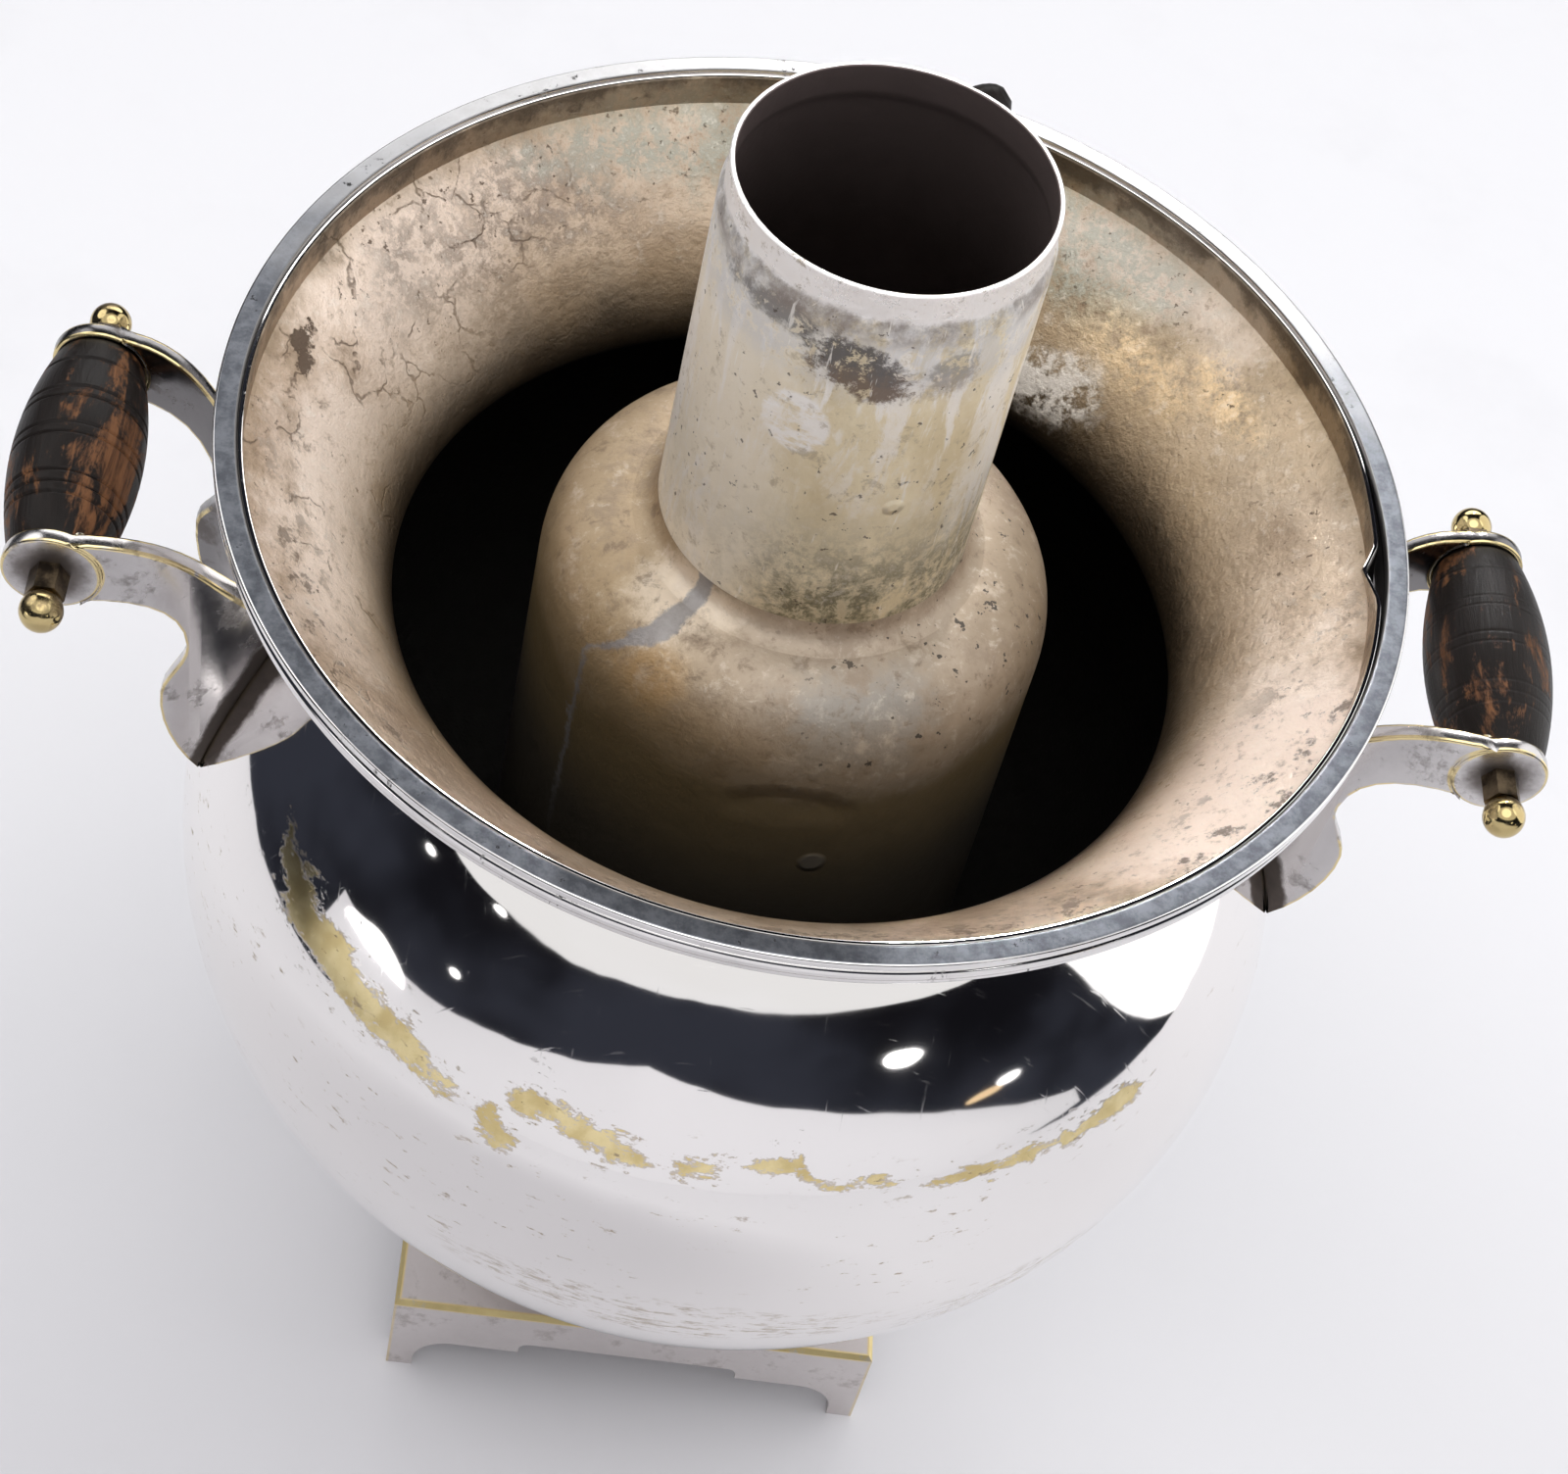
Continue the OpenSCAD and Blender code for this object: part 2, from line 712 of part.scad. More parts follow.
// Turned knob on the end of the lever
module key_knob() {
    color(dark_wood)
        translate([0, -tap_y, lever_z])
            rotate([0, 0, key_turn])
                rotate([0, 90 - key_rise, 0])
                    translate([0, 0, key_len])
                        difference() {
                            rotate_extrude($fn = small_fn)
                                polygon(knob_pts);
                            translate([0, 0, -eps])
                                cylinder(h = tang_len + eps, r = tang_r, $fn = small_fn);
                        }
}

// Washer under the barrel
module plug_washer() {
    color(brass)
        translate([0, -tap_y, washer_z])
            difference() {
                cylinder(h = washer_t, r = washer_r, $fn = round_fn);
                translate([0, 0, -eps])
                    cylinder(h = washer_t + 2 * eps, r = stub_r, $fn = small_fn);
            }
}

// Six-sided nut on the stub of the plug
module plug_nut() {
    color(brass)
        translate([0, -tap_y, nut_z])
            difference() {
                hex(nut_af, nut_h);
                translate([0, 0, -eps])
                    cylinder(h = nut_h + 2 * eps, r = stub_r, $fn = small_fn);
            }
}

shell();
mouth();
rim_ring();
fire_tube();
chimney();
grate();
pedestal();
base();
pedestal_rivets();
arm_right_front();
arm_right_rear();
arm_left_front();
arm_left_rear();
grip_rods();
acorn_nuts();
grip_right();
grip_left();
tap_flange();
tap_barrel();
tap_plug();
key_lever();
key_knob();
plug_washer();
plug_nut();
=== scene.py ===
import math
from functools import partial, reduce

import bmesh
import bpy
from mathutils import Matrix, Vector


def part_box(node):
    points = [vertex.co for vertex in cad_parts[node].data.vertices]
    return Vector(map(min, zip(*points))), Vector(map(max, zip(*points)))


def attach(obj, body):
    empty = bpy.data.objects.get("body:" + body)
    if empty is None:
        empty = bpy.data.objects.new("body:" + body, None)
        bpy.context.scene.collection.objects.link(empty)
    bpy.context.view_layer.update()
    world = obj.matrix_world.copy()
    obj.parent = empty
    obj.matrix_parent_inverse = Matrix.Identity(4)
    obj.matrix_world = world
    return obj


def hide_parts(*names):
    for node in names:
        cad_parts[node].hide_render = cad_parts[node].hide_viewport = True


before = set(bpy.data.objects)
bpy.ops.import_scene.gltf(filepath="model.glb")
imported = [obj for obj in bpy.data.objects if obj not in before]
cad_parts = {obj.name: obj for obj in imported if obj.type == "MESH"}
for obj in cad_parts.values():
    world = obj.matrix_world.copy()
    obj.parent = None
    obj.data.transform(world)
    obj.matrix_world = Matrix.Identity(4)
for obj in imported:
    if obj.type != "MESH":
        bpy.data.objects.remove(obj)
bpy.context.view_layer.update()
scene = bpy.context.scene
scene.view_settings.view_transform = "Standard"


# Water vessel: spun brass sheet, a ball belly with a drawn-in neck and a flared mouth soldered on above it.
# Silver plated and polished outside, with the plate worn to brass in islands where the belly is wiped.
# Inside it is never polished: cream, crazed and stained in the mouth, with painted highlights and painted
# warm reflections on it, black with scale and painted shade below the neck.

def feed(node, socket, value):
    if isinstance(value, bpy.types.Node):
        value = value.outputs[0]
    if isinstance(value, bpy.types.NodeSocket):
        node.id_data.links.new(value, node.inputs[socket])
    else:
        node.inputs[socket].default_value = value


def put(tree, kind, wires=None, **settings):
    made = tree.nodes.new(kind)
    for key, value in settings.items():
        setattr(made, key, value)
    for socket, value in (wires or {}).items():
        feed(made, socket, value)
    return made


# A node in the tree of the first socket that is wired to it
def joined(kind, wires, **settings):
    tree = next(v.id_data for v in wires.values() if isinstance(v, bpy.types.NodeSocket))
    return put(tree, kind, wires, **settings)


def calc(operation, a, b=0.0, c=0.0):
    return joined("ShaderNodeMath", {0: a, 1: b, 2: c}, operation=operation).outputs[0]


def times(*shares):
    return reduce(partial(calc, "MULTIPLY"), shares)


def most(*shares):
    return reduce(partial(calc, "MAXIMUM"), shares)


def raised(start, share, rise):
    return calc("MULTIPLY_ADD", share, rise, start)


def swing(noise, reach):
    return raised(-reach / 2, noise, reach)


def shaken(value, noise, reach):
    return calc("ADD", value, swing(noise, reach))


def ease(value, start, end, low=0.0, high=1.0):
    return joined("ShaderNodeMapRange", {0: value, 1: start, 2: end, 3: low, 4: high},
                  interpolation_type="SMOOTHSTEP").outputs[0]


def tint(share, first, second):
    ends = [(*shade, 1.0) if isinstance(shade, tuple) else shade for shade in (first, second)]
    return joined("ShaderNodeMix", {0: share, 6: ends[0], 7: ends[1]}, data_type="RGBA").outputs[2]


# Lays a shade over the base, as strong as the share of its mask
def coat(base, mask, share, shade):
    return tint(times(mask, share), base, shade)


def stretched(where, scale, turn=(0, 0, 0), shift=(0, 0, 0)):
    return joined("ShaderNodeMapping", {"Vector": where, "Scale": scale, "Rotation": turn,
                                        "Location": shift}).outputs[0]


def clouds(where, scale, detail=4.0, rough=0.55, twist=0.0):
    return joined("ShaderNodeTexNoise", {"Vector": where, "Scale": scale, "Detail": detail,
                                         "Roughness": rough, "Distortion": twist}).outputs["Fac"]


# A soft-edged patch, with its place and half sizes in mm
def patch(where, ragged, place, size, soft=0.4):
    inside = stretched(where, [1000 / s for s in size], shift=[-p / s for p, s in zip(place, size)])
    off = joined("ShaderNodeVectorMath", {0: inside}, operation="LENGTH").outputs["Value"]
    return ease(calc("ADD", off, ragged), 1 + soft / 2, 1 - soft / 2)


def cells(where, scale, ragged):
    bent = joined("ShaderNodeVectorMath", {0: where, 1: ragged}, operation="ADD").outputs[0]
    return joined("ShaderNodeTexVoronoi", {"Vector": bent, "Scale": scale},
                  feature="DISTANCE_TO_EDGE").outputs["Distance"]


def wobble(where, scale, reach):
    noise = joined("ShaderNodeTexNoise", {"Vector": where, "Scale": scale, "Detail": 4.0}).outputs["Color"]
    return joined("ShaderNodeVectorMath", {0: noise, 1: (reach,) * 3, 2: (-reach / 2,) * 3},
                  operation="MULTIPLY_ADD").outputs[0]


def finish_tree(name):
    mat = bpy.data.materials.new(name)
    mat.use_nodes = True
    where = put(mat.node_tree, "ShaderNodeTexCoord").outputs["Object"]
    xyz = joined("ShaderNodeSeparateXYZ", {0: where}).outputs
    return mat, where, xyz


# Wires the shader of a finish, with gloss as the strength of its clear reflection
def finished(mat, base, rough, normal=None, metal=0.0, gloss=0.5):
    shader = mat.node_tree.nodes["Principled BSDF"]
    feed(shader, "Base Color", base)
    feed(shader, "Roughness", rough)
    feed(shader, "Metallic", metal)
    feed(shader, "Specular IOR Level", gloss)
    if normal is not None:
        feed(shader, "Normal", normal)
    return mat


# Degrees round the axis from the photo's side
def bearing(xyz):
    turn = calc("ARCTAN2", times(xyz[0], -1.0), xyz[1])
    return times(turn, 180 / math.pi)


# A height read off a line through the points, which lie between low and high
def along(value, points, low, high):
    first, last = points[0][0], points[-1][0]
    share = joined("ShaderNodeMapRange", {0: value, 1: first, 2: last}).outputs[0]
    node = joined("ShaderNodeFloatCurve", {"Value": share})
    curve = node.mapping.curves[0]
    placed = [((x - first) / (last - first), (y - low) / (high - low)) for x, y in points]
    for x, y in placed[1:-1]:
        curve.points.new(x, y)
    for point, spot in zip(curve.points, placed):
        point.location = spot
        point.handle_type = "VECTOR"
    node.mapping.update()
    return raised(low, node.outputs[0], high - low)


def dents(height, strength, depth, under=None):
    wires = {"Height": height, "Strength": strength, "Distance": depth}
    if under is not None:
        wires["Normal"] = under
    return joined("ShaderNodeBump", wires).outputs[0]


def scratched(where):
    first = clouds(stretched(where, (90, 900, 60), (0.3, 0.4, 0.9)), 1.0, 3.0)
    second = clouds(stretched(where, (900, 50, 90), (0.9, 0.2, 0.5)), 1.0, 3.0)
    return most(ease(first, 0.66, 0.72), ease(second, 0.67, 0.73))


# Bearing in degrees from the photo's side, height in mm and half width in mm of the two worn lines.
# The plate is whole where the half width is below zero.
worn_low = ((-180, 250, -6), (-66, 252, -6), (-62, 246, -0.5), (-59.5, 241, 2.5), (-56, 239, 5),
            (-51, 236.5, 4.5), (-40, 234, 4), (-34, 232.5, 3.5), (-29, 230, 2.5), (-27, 229, -2),
            (-25, 227.5, 2.5), (-21.5, 225, 2), (-19, 224, -6), (180, 224, -6))
worn_high = ((-180, 236, -6), (-25, 236, -6), (-22, 236.5, 3), (-18, 237, 2), (-14, 234.5, 2),
             (-9.5, 233, 1.5), (-7.5, 232.5, -2), (-4.5, 232.5, 1.4), (-1, 235, 0.5), (1, 235.5, -2),
             (3, 236, 0.8), (7, 237, 0.6), (9, 233, -3), (12, 230.5, 0.5), (15.5, 232, 0.6), (18, 230, -2),
             (25, 228.5, 1.2), (31, 229, 1.6), (35, 228.5, 0), (39, 228, 1.8), (45, 230, 2), (48, 229, 0),
             (51, 232, -6), (180, 236, -6))


def polished_plate(name):
    mat, where, xyz = finish_tree(name)
    tone = clouds(where, 9.0, 3.0)
    silver = tint(tone, (0.83, 0.80, 0.785), (0.91, 0.89, 0.875))
    turn = bearing(xyz)
    height = times(xyz[2], 1000.0)
    flat = stretched(where, (1, 1, 2.4))
    ragged = shaken(swing(clouds(flat, 85.0, 5.0, 0.6, 0.4), 15.0), clouds(flat, 420.0, 5.0, 0.7), 9.0)
    shares = []
    near = []
    rings = []
    lowest, highest, widest = 200, 270, 8
    for line in (worn_low, worn_high):
        middle = along(turn, [(b, z) for b, z, w in line], lowest, highest)
        half = along(turn, [(b, w) for b, z, w in line], -widest, widest)
        off = calc("SUBTRACT", calc("ABSOLUTE", calc("SUBTRACT", height, middle)), half)
        shares.append(ease(calc("ADD", off, ragged), 0.35, -0.35))
        near.append(ease(off, 9.0, 3.0))
        rings.append(ease(calc("ADD", off, ragged), 1.1, 0.5))
    worn = most(*shares)
    border = calc("SUBTRACT", most(*rings), worn)
    brass = tint(ease(clouds(where, 110.0, 5.0), 0.35, 0.65), (0.63, 0.50, 0.24), (0.83, 0.70, 0.39))
    plated = tint(worn, silver, brass)

    # Brown flecks along the worn lines and under them, and two scuffs low on the belly that are also a
    # painted dark reflection of the base and the shaded table
    streaks = clouds(stretched(where, (1, 1, 3.2)), 150.0, 7.0, 0.72)
    low = times(ease(height, 150.0, 200.0), ease(height, 228.0, 219.0),
                ease(clouds(where, 24.0, 3.0), 0.44, 0.54))
    flecks = times(ease(streaks, 0.605, 0.65), most(low, *near))
    # Scuffs and painted reflection: smudges that darken the belly low down, where the base and the shaded
    # table would be mirrored
    scuffs_and_painted_reflection = times(most(patch(where, swing(tone, 1.5), (-80, 112, 168), (34, 34, 13)),
                       patch(where, swing(tone, 1.5), (10, 138, 178), (60, 60, 10))),
                  ease(clouds(stretched(where, (1, 1, 5)), 130.0, 7.0, 0.75), 0.50, 0.60))
    marks_and_painted_reflection = most(flecks, times(scuffs_and_painted_reflection, 0.8), times(border, 0.75))
    base = tint(times(marks_and_painted_reflection, 0.8), plated, (0.40, 0.32, 0.235))

    lines = scratched(where)
    rough = raised(raised(0.025, lines, 0.08), tone, 0.05)
    rough = calc("ADD", rough, raised(times(marks_and_painted_reflection, 0.3), worn, 0.17))
    sway = dents(clouds(where, 20.0, 2.5, 0.5), 0.38, 0.0013)
    scored = dents(lines, 0.015, 0.0002, sway)
    return finished(mat, base, rough, dents(most(worn, marks_and_painted_reflection), 0.10, -0.0002, scored), 1.0)


def stained_mouth(name, waist, crease):
    mat, where, xyz = finish_tree(name)
    broad = clouds(where, 14.0, 5.0, 0.6, 0.2)
    blotch = clouds(where, 46.0, 10.0, 0.72, 0.1)
    fine = clouds(where, 210.0, 8.0, 0.74)
    ragged = shaken(swing(broad, 1.8), blotch, 3.0)
    zone = partial(patch, where, ragged)
    base = tint(ease(broad, 0.36, 0.62), (0.50, 0.36, 0.25), (0.88, 0.715, 0.565))
    base = coat(base, ease(blotch, 0.50, 0.68), 0.75, (0.38, 0.28, 0.195))
    base = coat(base, ease(blotch, 0.47, 0.32), 0.6, (0.96, 0.85, 0.73))
    cast = clouds(where, 22.0, 6.0, 0.66)
    base = tint(ease(cast, 0.50, 0.66, 0.0, 0.6), base, (0.40, 0.29, 0.20))
    bronze = times(ease(shaken(xyz[1], cast, 0.10), 0.03, -0.06), ease(xyz[0], 0.06, -0.03))
    bronzed = tint(ease(cast, 0.35, 0.65), (0.66, 0.515, 0.35), (0.25, 0.19, 0.115))
    base = coat(base, bronze, 0.75, bronzed)

    # Pale zones that are painted highlights and sheen, brown and green zones, and golden spots that are
    # painted reflections of a warm lamp, round the mouth
    # Painted highlights: bright and the pale patches below lay pale colour where lamps would shine on the
    # metal
    bright = zone((106, -66, 314), (44, 38, 18), 1.2)
    painted_highlights = most(zone((108, 10, 303), (22, 44, 18), 1.1),
                  zone((90, -50, 297), (24, 30, 16), 1.1),
                  zone((-110, 48, 310), (26, 38, 18), 1.1),
                  zone((-98, 62, 306), (38, 38, 20), 1.1),
                  times(zone((-94, -94, 323), (28, 26, 9), 1.2), 0.8))
    base = coat(base, most(bright, painted_highlights), 0.9, (1.0, 0.845, 0.73))
    brown = zone((72, 104, 312), (62, 52, 26), 1.4)
    base = coat(base, brown, 0.55, tint(fine, (0.34, 0.245, 0.175), (0.56, 0.42, 0.32)))
    mottle = times(zone((77, -88, 308), (40, 34, 18), 1.4), ease(fine, 0.36, 0.60))
    base = coat(base, mottle, 0.9, (0.25, 0.19, 0.15))
    teal = times(most(zone((40, -122, 319), (48, 22, 12), 1.2),
                      zone((-62, -104, 316), (44, 26, 11), 1.2)), ease(fine, 0.36, 0.60))
    base = coat(base, teal, 0.8, (0.40, 0.42, 0.36))
    # Painted reflection: golden spots where a warm lamp would be mirrored
    painted_warm_glints = times(most(zone((-84, -75, 305), (16, 16, 6), 1.4),
                      zone((-104, -62, 312), (13, 13, 4), 1.4)), ease(fine, 0.40, 0.60))
    base = coat(base, painted_warm_glints, 0.9, (1.0, 0.74, 0.44))
    base = coat(base, ease(fine, 0.53, 0.70), 0.5, (0.99, 0.90, 0.80))
    base = coat(base, ease(fine, 0.47, 0.33), 0.6, (0.33, 0.24, 0.17))

    # Cracks, two flaked spots, dots under the collar and pits
    crazed = times(ease(cells(where, 70.0, wobble(where, 75.0, 0.020)), 0.040, 0.006),
                   ease(xyz[0], 0.045, 0.09), ease(blotch, 0.49, 0.58))
    flakes = most(patch(where, swing(fine, 5.0), (124, -29, 317.5), (2.6, 4, 3), 0.3),
                  patch(where, swing(fine, 5.0), (122.5, -22, 316), (2, 3, 3), 0.3))
    spots = times(ease(clouds(where, 105.0, 6.0, 0.7), 0.54, 0.62),
                  ease(xyz[2], crease - 0.026, crease - 0.006), ease(xyz[1], -0.02, 0.05))
    pits = times(ease(clouds(where, 430.0, 4.0, 0.65), 0.63, 0.68),
                 ease(clouds(where, 26.0, 3.0), 0.40, 0.56))
    dirt = most(times(crazed, 0.7), times(flakes, 0.95), times(pits, 0.8), times(spots, 0.85))
    base = tint(dirt, base, (0.15, 0.105, 0.075))

    # Brown, then near black towards the waist, and black with scale below the neck, all partly painted shade
    # deep in the mouth; a darker band and smears on the far collar; a painted glint on the far throat
    level = shaken(xyz[2], blotch, 0.014)
    # Darker towards the waist: brown tarnish and painted shade
    base = tint(ease(level, waist + 0.034, waist + 0.010, 0.0, 0.7), base, (0.36, 0.255, 0.145))
    base = tint(ease(level, waist + 0.021, waist + 0.003, 0.0, 0.95), base, (0.055, 0.039, 0.024))
    band = times(ease(shaken(xyz[2], blotch, 0.008), crease - 0.003, crease + 0.002),
                 ease(xyz[1], 0.05, -0.03))
    base = coat(base, band, 0.5, tint(blotch, (0.52, 0.40, 0.25), (0.20, 0.15, 0.095)))
    smear = times(band, ease(shaken(xyz[2], blotch, 0.035), crease + 0.003, crease + 0.009))
    base = coat(base, smear, 0.65, (0.06, 0.052, 0.045))
    # Painted glint: a pale patch on the far throat where a highlight would shine
    glint = times(patch(where, swing(blotch, 2.5), (-64, -81, 291), (15, 13, 8), 0.8),
                  ease(fine, 0.40, 0.56))
    base = coat(base, glint, 0.8, (1.0, 0.94, 0.87))
    # Scale and painted shade: near black below the neck
    scale_and_painted_shade = ease(xyz[2], waist + 0.003, waist - 0.009)
    base = tint(scale_and_painted_shade, base, (0.016, 0.014, 0.012))

    metal = raised(raised(raised(0.55, bronze, 0.20), bright, 0.40), most(painted_highlights, glint), -0.55)
    rough = calc("ADD", raised(0.14, blotch, 0.45), times(most(dirt, scale_and_painted_shade), 0.25))
    uneven = dents(clouds(where, 52.0, 6.0, 0.66), 0.75, 0.0020)
    grain = dents(calc("ADD", fine, blotch), 0.50, 0.0011, uneven)
    return finished(mat, base, rough, dents(dirt, 0.50, -0.0007, grain), metal)


# Points of a curve from a to d that is drawn towards b and c, without a itself
def bowed(a, b, c, d, count):
    points = []
    for i in range(1, count + 1):
        t = i / count
        shares = ((1 - t) ** 3, 3 * (1 - t) ** 2 * t, 3 * (1 - t) * t ** 2, t ** 3)
        points.append(tuple(sum(s * v for s, v in zip(shares, axis)) for axis in zip(a, b, c, d)))
    return points


# A closed outline: the outer line, an edge and the same line one wall further in
def walled(line, wall, edge=()):
    steps = []
    for p, q in zip(line, line[1:]):
        run, rise = q[0] - p[0], q[1] - p[1]
        size = math.hypot(run, rise)
        steps.append((-rise / size, run / size))
    moved = []
    for i, p in enumerate(line):
        a = steps[max(i - 1, 0)]
        b = steps[min(i, len(steps) - 1)]
        m = (a[0] + b[0], a[1] + b[1])
        k = wall * 2 / (m[0] ** 2 + m[1] ** 2)
        moved.append((p[0] + k * m[0], p[1] + k * m[1]))
    return line + list(edge) + moved[::-1]


# A tree that makes a shape, a short way to put nodes in it, and its inputs by label
def shape_tree(name, result, **labels):
    tree = bpy.data.node_groups.new(name, "GeometryNodeTree")
    for kind, group in labels.items():
        for label in group:
            tree.interface.new_socket(label, in_out="INPUT", socket_type="NodeSocket" + kind)
    tree.interface.new_socket(result, in_out="OUTPUT", socket_type="NodeSocketGeometry")
    return tree, partial(put, tree), tree.nodes.new("NodeGroupInput").outputs


def finish_group(tree, geometry):
    feed(tree.nodes.new("NodeGroupOutput"), 0, geometry)


# Turns an outline round the axis, with a second finish from the inner row on
turning, part, given = shape_tree("turned_wall", "Wall", Geometry=("Outline",),
                                  Int=("Points", "Around", "Inner row"),
                                  Material=("Outer finish", "Inner finish"))
grid = part("GeometryNodeMeshGrid", {
    "Size X": 1.0, "Size Y": 1.0,
    "Vertices X": calc("ADD", given["Around"], 1.0),
    "Vertices Y": calc("ADD", given["Points"], 1.0)})
flat_place = part("ShaderNodeSeparateXYZ", {0: part("GeometryNodeInputPosition")})
angle = times(calc("ADD", flat_place.outputs[0], 0.5), math.tau)
row = times(calc("ADD", flat_place.outputs[1], 0.5), given["Points"])
kept_row = part("GeometryNodeCaptureAttribute", {"Geometry": grid}, domain="FACE")
kept_row.capture_items.new("FLOAT", "row")
feed(kept_row, "row", row)
outline_at = part("GeometryNodeSampleIndex", {
    "Geometry": given["Outline"],
    "Value": part("GeometryNodeInputPosition"),
    "Index": calc("MODULO", calc("ROUND", row), given["Points"])}, data_type="FLOAT_VECTOR")
reach = part("ShaderNodeSeparateXYZ", {0: outline_at})
spun_place = part("ShaderNodeCombineXYZ", {
    0: times(reach.outputs[0], calc("COSINE", angle)),
    1: times(reach.outputs[0], calc("SINE", angle)),
    2: reach.outputs[2]})
spun = part("GeometryNodeSetPosition", {"Geometry": kept_row, "Position": spun_place})
closed = part("GeometryNodeMergeByDistance", {"Geometry": spun, "Distance": 0.000002})
whole = part("GeometryNodeRealizeInstances", {0: closed})
coated = part("GeometryNodeSetMaterial", {"Geometry": whole, "Material": given["Outer finish"]})
lined = part("GeometryNodeSetMaterial", {
    "Geometry": coated, "Material": given["Inner finish"],
    "Selection": calc("GREATER_THAN", kept_row.outputs["row"], given["Inner row"])})
finish_group(turning, lined)


def added(name, data):
    made = bpy.data.objects.new(name, data)
    scene.collection.objects.link(made)
    return made


# The result of a shape tree as a plain mesh, with edges sharper than crisp degrees left sharp
def made_plain(name, source, tree, values, crisp=32):
    modifier = source.modifiers.new("making", "NODES")
    modifier.node_group = tree
    for item in tree.interface.items_tree:
        if item.in_out == "INPUT" and item.name in values:
            modifier[item.identifier] = values[item.name]
    depsgraph = bpy.context.evaluated_depsgraph_get()
    mesh = bpy.data.meshes.new_from_object(source.evaluated_get(depsgraph))
    mesh.name = name
    mesh.shade_smooth()
    mesh.set_sharp_from_angle(angle=math.radians(crisp))
    bpy.data.objects.remove(source)
    return added(name, mesh)


def dotted(name, points):
    mesh = bpy.data.meshes.new(name)
    mesh.from_pydata([[c / 1000 for c in point] for point in points], [], [])
    return added(name, mesh)


# A row number past the end of every outline
past_end = 100000


def turned(name, outline, around, outer, inner=None, inner_row=past_end, place=None, crisp=32):
    source = dotted(name + "_outline", [(r, 0, z) for r, z in outline])
    piece = made_plain(name, source, turning, {
        "Points": len(outline), "Around": around, "Inner row": inner_row,
        "Outer finish": outer, "Inner finish": inner or outer}, crisp)
    if place is not None:
        piece.data.transform(place)
    return piece


def hold(piece, body, slot_name, *nodes):
    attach(piece, body)
    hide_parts(*nodes)


belly_a, belly_c, belly_z = 143.0, 115.0, 191.0
wall = 1.5
hole_r, bottom_r, shoulder_r, throat_r, collar_r = 50.0, 54.0, 108.0, 97.5, 134.5
neck_h, funnel_h, collar_h = 12.6, 43.0, 9.6
neck_pull, waist_pull, funnel_pull = 8.0, 6.0, 8.0
flare_in, flare_drop = 22.0, 16.0
belly_steps, neck_steps, funnel_steps, collar_step = 80, 16, 32, 3.0
low_turn = -math.acos(bottom_r / belly_a)
high_turn = math.acos(shoulder_r / belly_a)
belly_line = []
for i in range(belly_steps + 1):
    t = low_turn + (high_turn - low_turn) * i / belly_steps
    belly_line.append((belly_a * math.cos(t), belly_z + belly_c * math.sin(t)))
neck_foot = belly_line[-1]
slant = (-belly_a * math.sin(high_turn), belly_c * math.cos(high_turn))
pull = neck_pull / math.hypot(*slant)
waist_z = neck_foot[1] + neck_h
crease_z = waist_z + funnel_h
rim_z = crease_z + collar_h
neck_line = bowed(neck_foot, (neck_foot[0] + pull * slant[0], neck_foot[1] + pull * slant[1]),
                  (throat_r, waist_z - waist_pull), (throat_r, waist_z), neck_steps)
mouth_line = bowed((throat_r, waist_z), (throat_r, waist_z + funnel_pull),
                   (collar_r - flare_in, crease_z - flare_drop), (collar_r, crease_z), funnel_steps)
collar_line = [(collar_r, crease_z + collar_step), (collar_r, crease_z + 2 * collar_step),
               (collar_r, rim_z - wall / 3)]
vessel_line = [(hole_r, belly_line[0][1])] + belly_line + neck_line + mouth_line + collar_line
sheet_edge = [(collar_r - 0.2 * wall, rim_z - 0.06 * wall), (collar_r - 0.5 * wall, rim_z),
              (collar_r - 0.8 * wall, rim_z - 0.06 * wall)]
outside = polished_plate("polished_plate")
inside = stained_mouth("stained_mouth", waist_z / 1000, crease_z / 1000)
vessel = turned("vessel_wall", walled(vessel_line, wall, sheet_edge), 312, outside, inside,
                len(vessel_line) + 2)

# Knock in the collar edge beside the left handle, where the sheet has sprung off the ring
knock_turn, knock_half, knock_depth = 86.5, 3.8, 0.0036
sprung_turn, sprung_half, sprung_depth = 91.0, 11.0, 0.0013
for vert in vessel.data.vertices:
    lift = min(max((vert.co.z * 1000 - crease_z) / collar_h, 0), 1)
    turn = math.degrees(math.atan2(-vert.co.x, vert.co.y))
    knock = knock_depth * max(0, 1 - abs(turn - knock_turn) / knock_half)
    sprung = sprung_depth * math.exp(-((turn - sprung_turn) / sprung_half) ** 2)
    shrink = 1 - lift * (knock + sprung) / math.hypot(vert.co.x, vert.co.y)
    vert.co.x *= shrink
    vert.co.y *= shrink
hold(vessel, "vessel", "silver_plate", "shell", "mouth")


# Rim ring: a drawn moulding soldered round the collar, with a flat lip, a groove and a round bead.
# Plated brass. The flat lip is dulled blue-grey and nicked, its dark grey partly a painted reflection of the
# dark room, at full strength on the near side, and its groove is black with old polish.

def distance(a, b):
    return calc("SQRT", calc("ADD", calc("POWER", a, 2.0), calc("POWER", b, 2.0)))


